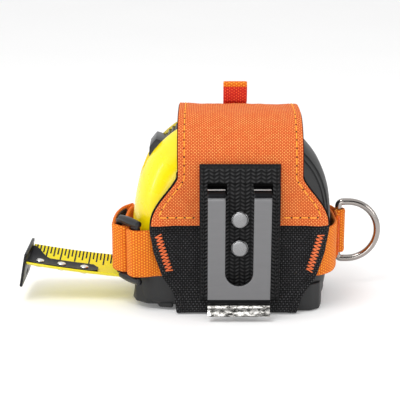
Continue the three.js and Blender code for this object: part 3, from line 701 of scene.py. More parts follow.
last = len(cover_line) - 1
rows_up = np.arange(4, last - 3)
side_rows = [cover_seam([(sign * (cover_half_at(r) - HEM), r) for r in rows_up]) for sign in (-1, 1)]
low_half = cover_half(COVER_BOTTOM + FOOT_HEM) - HEM
end_half = COVER_HALF - HEM
PATCH_SIDE = 17.5  # the foot's seam stops here, beside the clip's patch
for xs, run in ((np.arange(-low_half, -PATCH_SIDE, 0.8), FOOT_HEM / COVER_PITCH),
                (np.arange(PATCH_SIDE, low_half, 0.8), FOOT_HEM / COVER_PITCH),
                (np.arange(-end_half, end_half, 0.8), last - END_HEM / COVER_PITCH)):
    side_rows.append(cover_seam([(x, run) for x in xs]))
sewn("cover_stitching", side_rows, with_cover)

# Black binding thread round the lining's edge of the flare
edge_rows = np.arange(1, int(22 / COVER_PITCH))
binding = [np.array([cover_point(sign * (cover_half_at(r) + 0.30), r, -0.85) for r in edge_rows])
           for sign in (-1, 1)]
with_cover(tubes("cover_binding", binding, 0.42, "lining", 8))

# ---- Black pouch body: back panel, bottom strap and front panel, one cloth ----
BODY_PITCH = 0.9
BODY_HEM = 2.2
corner = 1.4
body_line = [(-PANEL_Y, PANEL_TOP), (-PANEL_Y, corner)]
body_line += arc(-PANEL_Y + corner, corner + 0.05, corner, 180, 270, 8)
body_line += arc(PANEL_Y - corner, corner + 0.05, corner, 270, 360, 8)
body_line += [(PANEL_Y, corner), (PANEL_Y, PANEL_TOP)]
body_line = resample(body_line, BODY_PITCH)
body_out = normals_2d(body_line)


def body_half_at(row):
    return float(panel_half(body_line[row, 1]))


def body_point(x, row, sink=0.0):
    y, z = body_line[row]
    ny, nz = body_out[row]
    away = (-float(drape(x)) + float(lift(x, z))) * float(smoothstep(1, 6, z))
    inside = body_half_at(row) - abs(x)
    uneven = 0.8 * float(ripple(x + 9, row * BODY_PITCH))
    away += uneven * float(smoothstep(0, 5, inside)) * float(smoothstep(2, 8, z))
    away += 0.18 * float(1 - smoothstep(2.6, 4.0, inside)) - bell(inside - BODY_HEM, 0.5, 0.18)
    low = float(1 - smoothstep(0, 11, z)) * float(smoothstep(0, 12, -y))  # it bulges at the foot of its back
    rise = 0.4 * float(1 - smoothstep(0, 2, z))  # room for the hem's stitches over the floor
    return np.array([x - 1.0 * low, y + ny * (away + sink) - 3.0 * low, z + nz * (away + sink) + rise])


def body_grid(sink):
    return cloth_grid(body_point, body_half_at, len(body_line), BODY_PITCH, 78, sink)


outer, flat = body_grid(0.0)
inner, _ = body_grid(-1.1)
body = shell("pouch_body", outer, inner, "black_cloth", flat, 0.35)
rides("pouch")(body)
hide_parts("back_panel", "bottom_panel", "front_panel")
body_area = sum(2 * body_half_at(r) * BODY_PITCH for r in range(len(body_line) - 1))
hem_rows = []
picked = range(3, len(body_line) - 3)
for sign in (-1, 1):
    line = np.array([body_point(sign * (body_half_at(r) - BODY_HEM), r, 0.02) for r in picked])
    hem_rows.append((line, np.array([(0, *body_out[r]) for r in picked])))
sewn("body_stitching", hem_rows, rides("pouch"), "black_thread", 3.0, 2.3, 0.2, 0.0)


def bartack(start, end, side, zigs=11, half=1.5):
    """The zigzag that holds a side strap under a wing. side is -1 on the back and 1 on the front."""
    start, end = np.array(start, float), np.array(end, float)
    along = (end - start) / np.linalg.norm(end - start)
    across = np.array([along[1], -along[0]])
    out = []
    for k in range(2 * zigs + 1):
        centre = start + (end - start) * k / (2 * zigs)
        x, z = centre + across * half * (1 if k % 2 else -1)
        y = PANEL_Y - float(drape(x)) + float(lift(x, z)) + 0.12
        out.append((x, side * y, z))
    return resample(out, 0.5)


tacks = [bartack((sign * 33.4, 34.0), (sign * 28.9, 18.2), side) for sign in (-1, 1) for side in (-1, 1)]
rides("pouch")(tubes("strap_bartacks", tacks, 0.30, "bartack", 6))

# ---- Webbing patch behind the belt clip, in a herringbone weave, with slits for the clip's arms ----
LOW, HIGH = span("clip_webbing")
STRIP_HALF = HIGH[0]
STRIP_FACE = -LOW[1]
TOP_FACE = -span("clip_webbing_top")[0][1]
TOP_EDGE = span("clip_webbing_top")[1][2]
PATCH_BACK = 25.75
CLIP_HALF = span("clip_front_leaf")[1][0]
SLOT_HALF = 5.7
STEP_LOW, STEP_HIGH = 52.0, 57.2  # the strip's face rises to the cover strip's between these heights
SEAM_X, SEAM_UP = 14.7, 1.8
SEAM_OUT = (0.0, -1.0, 0.0)


def patch_face(z):
    return np.interp(z, [STEP_LOW, STEP_HIGH], [STRIP_FACE, TOP_FACE + 0.4])


def herringbone(x, z):
    column = np.floor(x / 2.1)
    part = x / 2.1 - column
    lean = np.where(column % 2 == 0, 1.0, -1.0)
    ridge = 0.5 + 0.5 * np.cos(2 * math.pi * (z / 1.55 + lean * (part - 0.5) * 0.75))
    return ridge ** 0.8 * np.sin(math.pi * part) ** 0.4


xs = np.arange(-STRIP_HALF, STRIP_HALF + 0.01, 2 * STRIP_HALF / 124)
zs = np.linspace(LOW[2], TOP_EDGE, 214)
X, Z = np.meshgrid(xs, zs)
inside = np.minimum.reduce([STRIP_HALF - np.abs(X), Z - LOW[2], TOP_EDGE - Z])
rise = smoothstep(0, 1.2, inside)
# The cover strip's turned edge, then the grooves of the seams
fold = 0.55 * smoothstep(56.2, 56.7, Z) + 0.5 * np.exp(-((Z - 57.4) / 0.8) ** 2)
sew = np.exp(-((np.abs(X) - SEAM_X) / 0.35) ** 2) + np.exp(-((Z - LOW[2] - SEAM_UP) / 0.35) ** 2)
front = patch_face(Z) - 0.62 + 0.52 * herringbone(X, Z) * rise + 0.10 * rise + fold * rise
front = front - 0.25 * np.clip(sew, 0, 1)
outer = np.dstack([X, -front, Z])
inner = np.dstack([X, np.full_like(X, -PATCH_BACK), Z])
mid_x, mid_z = (xs[:-1] + xs[1:]) / 2, (zs[:-1] + zs[1:]) / 2
MX, MZ = np.meshgrid(mid_x, mid_z)
slits = (np.abs(MX) > SLOT_HALF - 0.5) & (np.abs(MX) < CLIP_HALF + 0.5) & (MZ > 51.9) & (MZ < 56.6)
patch = shell("clip_patch", outer, inner, "black_webbing", np.dstack([X, Z]), 0.0, ~slits,
              ridge=(herringbone(X, Z) * rise) ** 3)
rides("pouch")(patch)
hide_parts("clip_webbing", "clip_webbing_top")
backing_outline = [(-15.8, 50.0), (15.8, 50.0), (15.8, 59.0), (-15.8, 59.0)]
backing = prism("patch_backing", backing_outline, 1, -26.15, -25.72, "black_webbing", 0.15)
rides("pouch")(backing)
patch_rows = []
for sign in (-1, 1):
    line = np.array([(sign * SEAM_X, -(float(patch_face(z)) - 0.25), z)
                     for z in np.arange(LOW[2] + 2, 56, 0.8)])
    patch_rows.append((line, np.tile(SEAM_OUT, (len(line), 1))))
for y, z in ((STRIP_FACE - 0.2, LOW[2] + SEAM_UP), (TOP_FACE + 0.45, TOP_EDGE - 1.6)):
    line = np.array([(x, -y, z) for x in np.arange(-14.5, 14.6, 0.8)])
    patch_rows.append((line, np.tile(SEAM_OUT, (len(line), 1))))
sewn("patch_stitching", patch_rows, rides("pouch"), "black_thread", 2.6, 2.0, 0.2, 0.0)

# ---- Belt clip: one bent strip of steel, with a back leaf and a front leaf ----
STEEL = 1.1
leaf_high = span("clip_front_leaf")[1]
back_y = span("clip_back_leaf")[1][1] - STEEL / 2
top_z = leaf_high[2] - 1.2
TOP_Y, LOW_Y = -37.8, -34.4
BEND_R = 2.4
LIP_Z = 8.4  # the curled lip starts below this height
FRONT_Y, BACK_Y = -33.0, -27.2  # the front leaf lies before the first, the back leaf behind the second
clip_line = [(back_y, 18.0), (back_y, top_z - 3.2)]
clip_line += arc(back_y - BEND_R, top_z - STEEL / 2 - BEND_R, BEND_R, 0, 90, 8)
clip_line += arc(TOP_Y - STEEL / 2 + BEND_R, top_z - STEEL / 2 - BEND_R, BEND_R, 90, 180, 8)
clip_line += [(LOW_Y - STEEL / 2, LIP_Z)]
lip = smooth([(LOW_Y - STEEL / 2, LIP_Z), (LOW_Y + 0.35, 7.2), (LOW_Y + 0.45, 5.8), (LOW_Y - 0.6, 3.8),
              (LOW_Y - 1.75, 2.7)], 0.4)
clip_line = np.vstack([clip_line, lip[1:]])
SLOT_BOTTOM = 15.6


def slot_width(y, z):
    """Half width of the tongue slot at a place on the clip's line."""
    if y > -29.0:
        return SLOT_HALF * math.sqrt(np.clip((z - 50.0) / 1.2, 0, 1))
    drop = SLOT_BOTTOM + SLOT_HALF - z
    return math.sqrt(max(0.0, SLOT_HALF ** 2 - max(0.0, drop) ** 2)) if drop < SLOT_HALF else 0.0


dense = []
for (y0, z0), (y1, z1) in zip(clip_line[:-1], clip_line[1:]):
    steps = max(1, int(math.hypot(y1 - y0, z1 - z0) / 0.6))
    dense += [(y0 + (y1 - y0) * k / steps, z0 + (z1 - z0) * k / steps) for k in range(steps)]
dense.append(tuple(clip_line[-1]))
z_mark = SLOT_BOTTOM + np.array([0.0, 0.03, 0.12, 0.3, 0.55, 0.9])
leaf_run = [LIP_Z, top_z - STEEL / 2 - BEND_R]
extra = [(float(np.interp(z, leaf_run, [LOW_Y, TOP_Y])) - STEEL / 2, z) for z in z_mark]
extra += [(back_y, z) for z in (49.98, 50.0, 50.04, 50.2, 50.5)]


def on_front(point):
    return point[0] < FRONT_Y and point[1] < top_z - 4


def on_back(point):
    return point[0] > BACK_Y and point[1] < top_z - 3.3


front_rows = sorted([p for p in dense + extra if on_front(p) and p[1] > LIP_Z], key=lambda p: -p[1])
back_rows = sorted([p for p in dense + extra if on_back(p)], key=lambda p: p[1])
top_bend = [p for p in dense if not on_front(p) and not on_back(p) and p[1] > 20]
tail = [p for p in dense if p[1] <= LIP_Z]
clip_rows = back_rows + top_bend + front_rows + tail
points, faces = [], []
COLS = 9
for y, z in clip_rows:
    w = slot_width(y, z)
    for sign in (-1, 1):
        for k in range(COLS + 1):
            reach = w + (CLIP_HALF - w) * k / COLS
            points.append((sign * reach - 0.4, y, z))
stride = 2 * (COLS + 1)
for r in range(len(clip_rows) - 1):
    for s in range(2):
        for k in range(COLS):
            a = r * stride + s * (COLS + 1) + k
            b = a + stride
            faces.append((a, a + 1, b + 1, b) if s else (a + 1, a, b, b + 1))
clip = mesh_object("belt_clip", points, faces, "steel")
weld = clip.modifiers.new("weld", "WELD")
weld.merge_threshold = 0.00002
thick = clip.modifiers.new("thick", "SOLIDIFY")
thick.thickness = STEEL * MM
thick.offset = 0
settle(clip)
fix_normals(clip)
bevel(clip, 0.22, 2, 55, 50)
for look in ("lip_steel", "painted_highlight_steel", "painted_shade_steel"):
    clip.data.materials.append(LOOKS[look])
for polygon in clip.data.polygons:
    middle, up = polygon.center / MM, polygon.normal.z
    if middle.z > top_z - 3.2 and middle.y < -28.5 and up > 0.32:  # the bend at the top of the arms: a painted highlight band, with painted shade on either side
        polygon.material_index = 2 if -34.2 < middle.y < -32.0 else 3
    elif middle.z < 9.4 and middle.y < -32:
        # painted shade: a dark band just above the lip, then the plated lip
        polygon.material_index = 3 if middle.z > 6.7 else 1
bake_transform(clip)
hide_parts("clip_back_leaf", "clip_front_leaf")

rivet_z = [sum(span(f"clip_rivet_{i}")[k][2] for k in (0, 1)) / 2 for i in (1, 2)]
profile = [(0.3, -1.6), (3.55, -1.6), (3.55, 0.20), (3.48, 0.50), (3.3, 0.72), (3.05, 0.82), (2.6, 0.88),
           (0.2, 0.95)]


def on_strip(z, a, b, h):
    return (a, -STRIP_FACE - 0.15 - h, z + b)


rivets = lathe("clip_rivet_heads", profile, rivet_z, "nickel", on_strip, 48)
rides("pouch")(rivets)
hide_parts("clip_rivet_1", "clip_rivet_2")

# ---- Webbing straps on edge, drawn in plan ----
STRAP_LOW, STRAP_HIGH = span("right_strap")[0][2], span("right_strap")[1][2]


STRAP_PITCH = 0.55


def strap(name, node, line, thickness=1.2, inset=0.0, look="orange_webbing"):
    """Webbing on edge along a line seen from above. inset is how much narrower than the straps it is."""
    low, high = STRAP_LOW + inset, STRAP_HIGH - inset
    line = smooth(line, STRAP_PITCH)
    side = normals_2d(line)
    zs = np.linspace(low, high, int((high - low) / STRAP_PITCH) + 1)
    outer = np.zeros((len(line), len(zs), 3))
    inner = np.zeros_like(outer)
    flat = np.zeros((len(line), len(zs), 2))
    for i, (x, y) in enumerate(line):
        run = i * STRAP_PITCH
        dz = 0.18 * math.sin(run * 0.11 + 1.0)
        for j, z in enumerate(zs):
            edge = min(z - low, high - z)
            thin = 0.28 * (1 - float(smoothstep(0.0, 0.7, edge)))
            half = thickness / 2 - thin + bell(edge - 1.3, 0.5, 0.10)
            outer[i, j] = (x + side[i, 0] * half, y + side[i, 1] * half, z + dz)
            inner[i, j] = (x - side[i, 0] * half, y - side[i, 1] * half, z + dz)
            flat[i, j] = (run, z)
    made = shell(name, outer, inner, look, flat, 0.0)
    rides("pouch")(made)
    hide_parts(node)


SLIDE_START = np.array([-41.5, -23.6])
SLIDE_ALONG = np.array([-0.61, 0.792])
SLIDE_OUT = np.array([-0.792, -0.61])


def on_slide(along, out):
    return tuple(SLIDE_START + along * SLIDE_ALONG + out * SLIDE_OUT)


strap("left_anchor_webbing", "left_anchor_strap",
      [(-30.5, -22.95), (-34.5, -23.2), (-38.6, -24.6), on_slide(0.6, 2.25), on_slide(2.8, 2.35),
       on_slide(4.6, 2.1), on_slide(5.45, 1.0), on_slide(5.45, -1.0), on_slide(4.6, -2.1),
       on_slide(2.8, -2.3)])
strap("left_webbing", "left_strap",
      [(-30.5, 23.0), (-35.5, 23.3), (-42.4, 20.6), (-46.3, 14), (-47.6, 5), (-47.8, -3),
       on_slide(14.6, -2.5), on_slide(11.0, -2.3), on_slide(8.6, -1.4), on_slide(8.1, 0.0),
       on_slide(8.7, 1.5), on_slide(11.2, 2.4), on_slide(14.4, 2.6), (-52.7, -8), (-52.6, 0), (-51.7, 8),
       (-49.6, 15.4), (-46.2, 20.2)])
strap("left_hook_tape", "left_strap_hook_tape", [(-51.2, -5), (-51.2, 0), (-50.3, 7.7), (-48.8, 12.4)],
      0.9, 0.5, "hook_tape")
strap("right_webbing", "right_strap",
      [(29.5, -22.95), (34, -21.9), (38.6, -17.2), (41.0, -10), (41.3, 0), (40.9, 9), (38.9, 16.4),
       (34.6, 21.6), (29.5, 23.0)])
ring_low, ring_high = span("d_ring")
WIRE = 1.5
BAR = np.array([44.6, 11.0])
RING_Z = (ring_low[2] + ring_high[2]) / 2
RING_HALF = 12.95
loop_r = WIRE + 1.0
strap("ring_loop_webbing", "d_ring_loop",
      [(42.9, 0.5), (43.1, 4.5), *arc(*BAR, loop_r, 235, 340, 4), *arc(*BAR, loop_r, 0, 125, 5), (42.3, 16),
       (40.6, 19.5)], 1.0, 0.3)
zigzag = [(43.85, 2.2 + (0.9 if k % 2 else -0.9), STRAP_LOW + 1.6 + k * 0.8) for k in range(22)]
loop_tack = [resample(zigzag, 0.5)]
rides("pouch")(tubes("loop_bartack", loop_tack, 0.27, "bartack", 6))

# The slide: two rails joined by two bars, with rounded edges
SLIDE_LENGTH = 15.5
half_h = (span("strap_slide")[1][2] - span("strap_slide")[0][2]) / 2
mid_h = (span("strap_slide")[1][2] + span("strap_slide")[0][2]) / 2
us = np.array([0.0, 4.4, 13.1, SLIDE_LENGTH])
hs = np.array([-half_h, -10.3, 10.3, half_h])
U, H = np.meshgrid(us, hs)
plan = SLIDE_START + U[..., None] * SLIDE_ALONG
outer = np.dstack([plan + 1.2 * SLIDE_OUT, mid_h + H])
inner = np.dstack([plan - 1.2 * SLIDE_OUT, mid_h + H])
keep = np.ones((3, 3), bool)
keep[1, 1] = False
slide = shell("webbing_slide", outer, inner, "plastic", np.dstack([U, H]), 0.0, keep)
bevel(slide, 0.85, 4, 50, 60)
rides("pouch")(slide)
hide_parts("strap_slide")
RAIL_LIFT = {-1: 0.0, 1: 0.8}  # the upper rail stands above the slide's own edge


def rail(side):
    height = mid_h + side * (half_h - 0.05) + RAIL_LIFT[side]
    us = np.linspace(-1.3, 12.0, 30)
    return [np.append(SLIDE_START + u * SLIDE_ALONG + 0.75 * SLIDE_OUT, height) for u in us]


rail_paths = [rail(side) for side in (-1, 1)]
bulge = 1.35 + 0.45 * np.sin(np.linspace(0.1, math.pi - 0.1, 30))
rides("pouch")(tubes("slide_rails", rail_paths, bulge, "plastic", 20))

# ---- D-ring ----
CORNER = 1.9  # radius at both ends of the ring's bar
rise_angles = np.linspace(0.25, math.pi / 2, 6)
bow = np.linspace(math.pi / 2, -math.pi / 2, 60)
ring = [(0, z) for z in np.linspace(-RING_HALF + CORNER, RING_HALF - CORNER, 30)]
ring += [(CORNER - CORNER * math.cos(a), RING_HALF - CORNER + CORNER * math.sin(a)) for a in rise_angles]
ring += [(x, RING_HALF) for x in np.linspace(2.3, 4.2, 4)]
ring += [(4.3 + RING_HALF * math.cos(a), RING_HALF * math.sin(a)) for a in bow]
ring += [(x, -RING_HALF) for x in np.linspace(4.2, 2.3, 4)]
ring += [(CORNER - CORNER * math.cos(a), -RING_HALF + CORNER - CORNER * math.sin(a))
         for a in np.linspace(math.pi / 2, 0.25, 6)]
ring_path = resample(np.array([(BAR[0] + a, BAR[1], RING_Z + b) for a, b in ring + ring[:1]]), 0.55)[:-1]
d_ring = tubes("ring_wire", [ring_path], WIRE, "chrome", 28, True)
rides("d_ring")(d_ring)
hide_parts("d_ring")

# ---- Pull tab, and the hook and loop tape ----
tab_half = (span("pull_tab")[1][0] - span("pull_tab")[0][0]) / 2
tab_x, tab_top = sum(p[0] for p in span("pull_tab")) / 2, span("pull_tab")[1][2] - 0.5
tab_line = smooth([(15.6, 82.2), (15.2, 84.6), (15.15, tab_top - 0.9), (16.2, tab_top),
                   (17.25, tab_top - 0.9), (17.3, 84), (18.3, 80.6)], 0.4)
tab_side = -normals_2d(tab_line)
grid_out, grid_in, flat = (np.zeros((len(tab_line), 25, n)) for n in (3, 3, 2))
for i, (y, z) in enumerate(tab_line):
    for j, x in enumerate(np.linspace(-tab_half, tab_half, 25)):
        edge = tab_half - abs(x)
        half = 0.45 - 0.2 * (1 - float(smoothstep(0, 0.6, edge)))
        grid_out[i, j] = (tab_x + x, y + tab_side[i, 0] * half, z + tab_side[i, 1] * half)
        grid_in[i, j] = (tab_x + x, y - tab_side[i, 0] * half, z - tab_side[i, 1] * half)
        flat[i, j] = (x, i * 0.4)
tab = shell("pull_tab_webbing", grid_out, grid_in, "red_webbing_painted_shade", flat, 0.0)
tab.data.materials.append(LOOKS["orange_webbing"])
for polygon in tab.data.polygons:  # painted highlight: the fold at its top gets the lighter orange webbing; the rest is the darker red webbing as painted shade
    if polygon.center.z / MM > tab_top - 1.9:
        polygon.material_index = 1
rides("flap")(tab)
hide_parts("pull_tab")


def tape_patch(name, node, body, out):
    """A strip of hook or loop tape with a nap. out is the side that it faces, along Y."""
    low, high = span(node)
    xs = np.linspace(low[0], high[0], int((high[0] - low[0]) / 0.4))
    zs = np.linspace(low[2], high[2], int((high[2] - low[2]) / 0.4))
    X, Z = np.meshgrid(xs, zs)
    inside = np.minimum.reduce([X - low[0], high[0] - X, Z - low[2], high[2] - Z])
    nap = 0.16 * rng.random(X.shape) * smoothstep(0.3, 1.4, inside) + 0.25 * smoothstep(0, 0.5, inside)
    face = high[1] if out > 0 else low[1]
    back = low[1] if out > 0 else high[1]
    outer = np.dstack([X, np.full_like(X, face) + out * (nap - 0.4), Z])
    inner = np.dstack([X, np.full_like(X, back), Z])
    made = shell(name, outer, inner, "hook_tape", np.dstack([X, Z]), 0.0)
    rides(body)(made)
    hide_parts(node)


tape_patch("front_loop_tape", "front_loop_patch", "pouch", 1)
tape_patch("flap_hook_tape", "flap_hook_patch", "flap", -1)

# ---- Tape measure: case, grips and lever ----
rim_mid = smooth([(-45, 20), (-44.9, 33), (-43.6, 45), (-41.2, 55.5), (-37.2, 64.2), (-31.4, 71), (-24, 76.4),
                  (-14, 79.4), (-5, 80.2), (5, 79.8), (14.5, 77.6), (22, 73.4), (28.2, 67.8), (33.6, 60.8),
                  (37, 52.6), (38.7, 43), (39.2, 30), (38.6, 18), (37.2, 9)], 1.6)
rim_front = arc(-40.5, CASE_BOTTOM + 4.5, 4.5, 270, 180, 6)[:-1] + [(-45, 8.5), (-45, 12.5), (-45, 16.5)]
rim_foot = arc(32, CASE_BOTTOM + 5, 5, 10, -90, 7) + [(x, CASE_BOTTOM) for x in np.linspace(28, -36, 24)]
rim = np.array(rim_front + rim_mid.tolist() + rim_foot)


def on_reel(radius, start, end, steps):
    """An arc about the axle, from the side."""
    return arc(CASE_X, CASE_Z, radius, start, end, steps)


def case_point(x, z, y, scale=1.0):
    """Where a point of the case's rim lands at depth y, as its sides round off into flat faces."""
    t = (abs(y) - CROWN_FLAT) / (CASE_HALF_DEPTH - CROWN_FLAT)
    blend = 1 - math.sqrt(max(0.0, 1 - max(0.0, t) ** 2))
    fx = CASE_X + (x - CASE_X) * FACE_X_SCALE
    fz = FACE_BOTTOM + (z - CASE_BOTTOM) * (FACE_TOP - FACE_BOTTOM) / (CASE_TOP - CASE_BOTTOM)
    px, pz = x + (fx - x) * blend, z + (fz - z) * blend
    return (CASE_X + (px - CASE_X) * scale, y, CASE_Z + (pz - CASE_Z) * scale)


def case_mesh(name, look, scale=1.0):
    turn = np.linspace(0, math.pi / 2, 17)
    depths = CROWN_FLAT + (CASE_HALF_DEPTH - CROWN_FLAT) * np.sin(turn)
    ys = np.concatenate([-depths[::-1], np.linspace(-CROWN_FLAT, CROWN_FLAT, 5)[1:-1], depths])
    points = [case_point(x, z, y, scale) for y in ys for x, z in rim]
    count = len(rim)
    faces = [(r * count + i, r * count + (i + 1) % count, (r + 1) * count + (i + 1) % count,
              (r + 1) * count + i) for r in range(len(ys) - 1) for i in range(count)]
    faces += [tuple(range(count)), tuple(range(len(points) - 1, len(points) - count - 1, -1))]
    return fix_normals(mesh_object(name, points, faces, look))


edge_line = smooth([(16, 90), (13, 74), (7, 58), (-2, 42), (-14, 28), (-28, 19.5), (-50, 15.5)], 2.0)
edge_line = np.vstack([edge_line, [(-60, 14.8)]])
side = normals_2d(edge_line)
zone = prism("zone", np.vstack([edge_line, [(-60, -5), (60, -5), (60, 90)]]), 1, -40, 40, "rubber", 0)
shift = edge_line + np.array([-0.28, 0.22])
shift = np.vstack([shift, [(-60, -5), (60, -5), (60, 92), (16, 92)]])
zone_in = prism("zone_in", shift, 1, -40, 40, "rubber", 0)
shell_yellow = case_mesh("tape_shell", "yellow", 0.998)
cut(shell_yellow, zone_in)
rubber = case_mesh("tape_rubber", "rubber")
cut(rubber, zone, "INTERSECT")
CHANNEL_R, LEVER_HALF = 37.6, 8.2
channel_line = on_reel(CHANNEL_R, 98, 161, 30) + on_reel(60, 161, 98, 12)
channel = prism("channel", channel_line, 1, -LEVER_HALF - 0.4, LEVER_HALF + 0.4, "yellow", 0)
cut(shell_yellow, channel)
MOUTH_LOW, MOUTH_HIGH, MOUTH_HALF = 4.2, 14.6, 14.4


def mouth_block(name, start, end, low, half):
    """A block of the room that the blade has at the case's mouth and behind it."""
    outline = [(start, low), (end, low), (end, MOUTH_HIGH), (start, MOUTH_HIGH)]
    return prism(name, outline, 1, -half, half, "rubber", 0)


mouth = mouth_block("mouth", -60, 24, MOUTH_LOW, MOUTH_HALF)
cut(shell_yellow, mouth, keep=True)
cut(rubber, mouth)
for piece in (shell_yellow, rubber):
    bevel(piece, 0.3, 2, 50, 50)
rides("pouch")(shell_yellow)
rides("pouch")(rubber)
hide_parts("tape_case_back", "tape_case_front")
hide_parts("tape_grip_back", "tape_grip_front")

# Two low ribs on each side of the grip's rear corner
rear = [(x, z) for x, z in rim if x > 24 and 22 < z < 74]
ribs = []
for depth in (14.5, 17.0):
    for sign in (-1, 1):
        ribs.append(resample([case_point(x, z, sign * depth, 1.002) for x, z in rear], 1.0))
rides("pouch")(tubes("grip_ribs", ribs, 0.42, "rubber", 10))

# The grip's feet at both ends have flat facets
front_foot = [(-44.6, 12.5), (-44.6, -12.5), (-43.4, -16.8), (-38.4, -20.6), (-27, -21.6), (-16, -21.6),
              (-16, 21.6), (-27, 21.6), (-38.4, 20.6), (-43.4, 16.8)]
rear_foot = [(20, -22.6), (25, -23.5), (30, -23.5), (34, -20.8), (35.3, -15), (35.3, 15), (34, 20.6),
             (30, 22), (20, 22)]
front_step = [(-27.4, -22.0), (-33.5, -21.0), (-35.0, -14.8), (-35.0, 14.8), (-33.5, 21.0), (-27.4, 22.0)]
feet = [prism("grip_foot_front", front_foot, 2, 2.3, 12.2, "rubber", 0),
        prism("grip_foot_rear", rear_foot, 2, 0.25, 12.0, "rubber", 0),
        prism("grip_foot_step", front_step, 2, 0.9, 3.6, "rubber", 0)]
cut(feet[0], mouth_block("mouth", -60, 0, MOUTH_LOW, MOUTH_HALF))
cut(feet[1], mouth_block("inside", 0, 32.5, 3.4, 19.2))
for foot in feet:
    bevel(foot, 0.9, 3, 25, 40)
    rides("pouch")(foot)

LEVER_R, LEVER_RIB_R, LEVER_STEP_R = 39.2, 39.9, 43.0
ribs_line = []
for i in range(7):
    a = 114.5 + i * 2.9
    ribs_line += on_reel(LEVER_RIB_R, a, a + 1.1, 2) + on_reel(LEVER_R - 0.1, a + 1.6, a + 2.4, 2)
lever_line = on_reel(CHANNEL_R + 0.3, 153.5, 110, 24) + on_reel(LEVER_R, 110, 114, 3) + ribs_line
lever_line += on_reel(LEVER_R + 0.3, 135.2, 136, 1) + on_reel(LEVER_STEP_R - 0.1, 138.2, 144.2, 5)
lever_line += on_reel(LEVER_STEP_R - 1.4, 147, 147.5, 1) + on_reel(LEVER_R + 0.2, 151, 153.5, 2)
lever = prism("lock_lever", lever_line, 1, -LEVER_HALF, LEVER_HALF, "plastic", 0.28, 2, 32, 45)
rides("lock_lever")(lever)
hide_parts("tape_lock_lever")

# ---- The blade with its printed scale, its end hook and rivets ----
RADIUS, LOW_X, LOW_Z, SAG = 475.0, -5.0, 6.3, 4.1
BLADE_HALF = (span("tape_blade")[1][1] - span("tape_blade")[0][1]) / 2
THICK = 0.45
TANG_GAP, TANG_THICK = 0.28, 0.75
END_X = -90.5
END_ANGLE = math.asin((LOW_X - END_X) / RADIUS)


def dish(y):
    return SAG * (y / BLADE_HALF) ** 2


def on_blade(along, y, up):
    angle = END_ANGLE - along / RADIUS
    reach = RADIUS - up
    return (LOW_X - reach * math.sin(angle), y, LOW_Z + RADIUS - reach * math.cos(angle))


rows = np.linspace(0, 67.4, 76)
ys = np.linspace(-BLADE_HALF, BLADE_HALF, 33)
outer = np.array([[on_blade(a, y, dish(y) + THICK) for y in ys] for a in rows])
inner = np.array([[on_blade(a, y, dish(y) + 0.05) for y in ys] for a in rows])
flat = np.array([[(a, y) for y in ys] for a in rows])
blade = shell("blade_strip", outer, inner, "blade", flat, 0.08)
rides("blade")(blade)
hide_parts("tape_blade")

SIXTEENTH = 25.4 / 16
points, faces = [], []


def ink_bar(a0, a1, y0, y1, steps=5):
    base = len(points)
    for k in range(steps + 1):
        y = y0 + (y1 - y0) * k / steps
        for a, up in ((a0, 0.035), (a1, 0.035), (a1, -0.05), (a0, -0.05)):
            points.append(on_blade(a, y, dish(y) + THICK + up))
    faces.extend(ring_faces(base, steps + 1, 4))


TICKS = ((16, 9.6), (8, 9.0), (4, 6.8), (2, 5.2), (1, 3.7))  # every so many sixteenths, a tick this long
TICK_START, TICK_HALF = 12.9, 0.34
for k in range(1, 42):
    length = next(size for every, size in TICKS if k % every == 0)
    at = k * SIXTEENTH
    for sign in (-1, 1):
        ink_bar(at - TICK_HALF, at + TICK_HALF, sign * TICK_START, sign * (TICK_START - length))
scale_ink = fix_normals(mesh_object("blade_scale", points, faces, "ink"))
rides("blade")(scale_ink)


def numeral(name, text, size, along, y):
    curve = bpy.data.curves.new(name, "FONT")
    curve.body = text
    curve.size = size * MM
    curve.extrude = 0.02 * MM
    curve.offset = 0.22 * MM
    curve.align_x, curve.align_y = "CENTER", "CENTER"
    letters = bpy.data.objects.new(name, curve)
    bpy.context.scene.collection.objects.link(letters)
    bpy.context.view_layer.update()
    mesh = bpy.data.meshes.new_from_object(letters.evaluated_get(bpy.context.evaluated_depsgraph_get()))
    bpy.data.objects.remove(letters)
    for vertex in mesh.vertices:
        a, b, h = (c / MM for c in vertex.co)
        vertex.co = Vector(on_blade(along + a, y + b, dish(y + b) + THICK + 0.03 + h)) * MM
    mesh.materials.clear()
    mesh.materials.append(LOOKS["ink"])
    made = bpy.data.objects.new(name, mesh)
    bpy.context.scene.collection.objects.link(made)
    rides("blade")(made)


numeral("numeral_1", "1", 9.5, 25.4 - 3.6, 0.6)
numeral("numeral_2", "2", 9.5, 50.8 - 3.6, 0.6)

# The hook: a plate across the blade's end with a nail slot, and a tang riveted along the blade
TANG = 30.0
rows = np.linspace(-0.7, TANG, 44)
tang_out, tang_in = np.zeros((len(rows), 15, 3)), np.zeros((len(rows), 15, 3))
for i, a in enumerate(rows):
    half = 4.3 + 6.7 * float(1 - smoothstep(0.5, 9, a)) - 2.2 * float(smoothstep(TANG - 3.5, TANG, a)) ** 2
    for j, u in enumerate(np.linspace(-1, 1, 15)):
        y = u * half
        tang_out[i, j] = on_blade(a, y, dish(y) + THICK + TANG_GAP + TANG_THICK)
        tang_in[i, j] = on_blade(a, y, dish(y) + THICK + TANG_GAP)
tang = shell("hook_tang", tang_out, tang_in, "black_steel", np.zeros((len(rows), 15, 2)), 0.15)
hook_half, hook_tall = 13.0, 7.5
corner_points = []
for cy, cz, start in ((1, 1, 0), (-1, 1, 90), (-1, -1, 180), (1, -1, 270)):
    corner_points += arc(cy * (hook_half - 1.6), cz * (hook_tall - 1.6), 1.6, start, start + 90, 5)
plate = prism("hook_plate", corner_points, 0, -1.4, -0.3, "black_steel", 0)
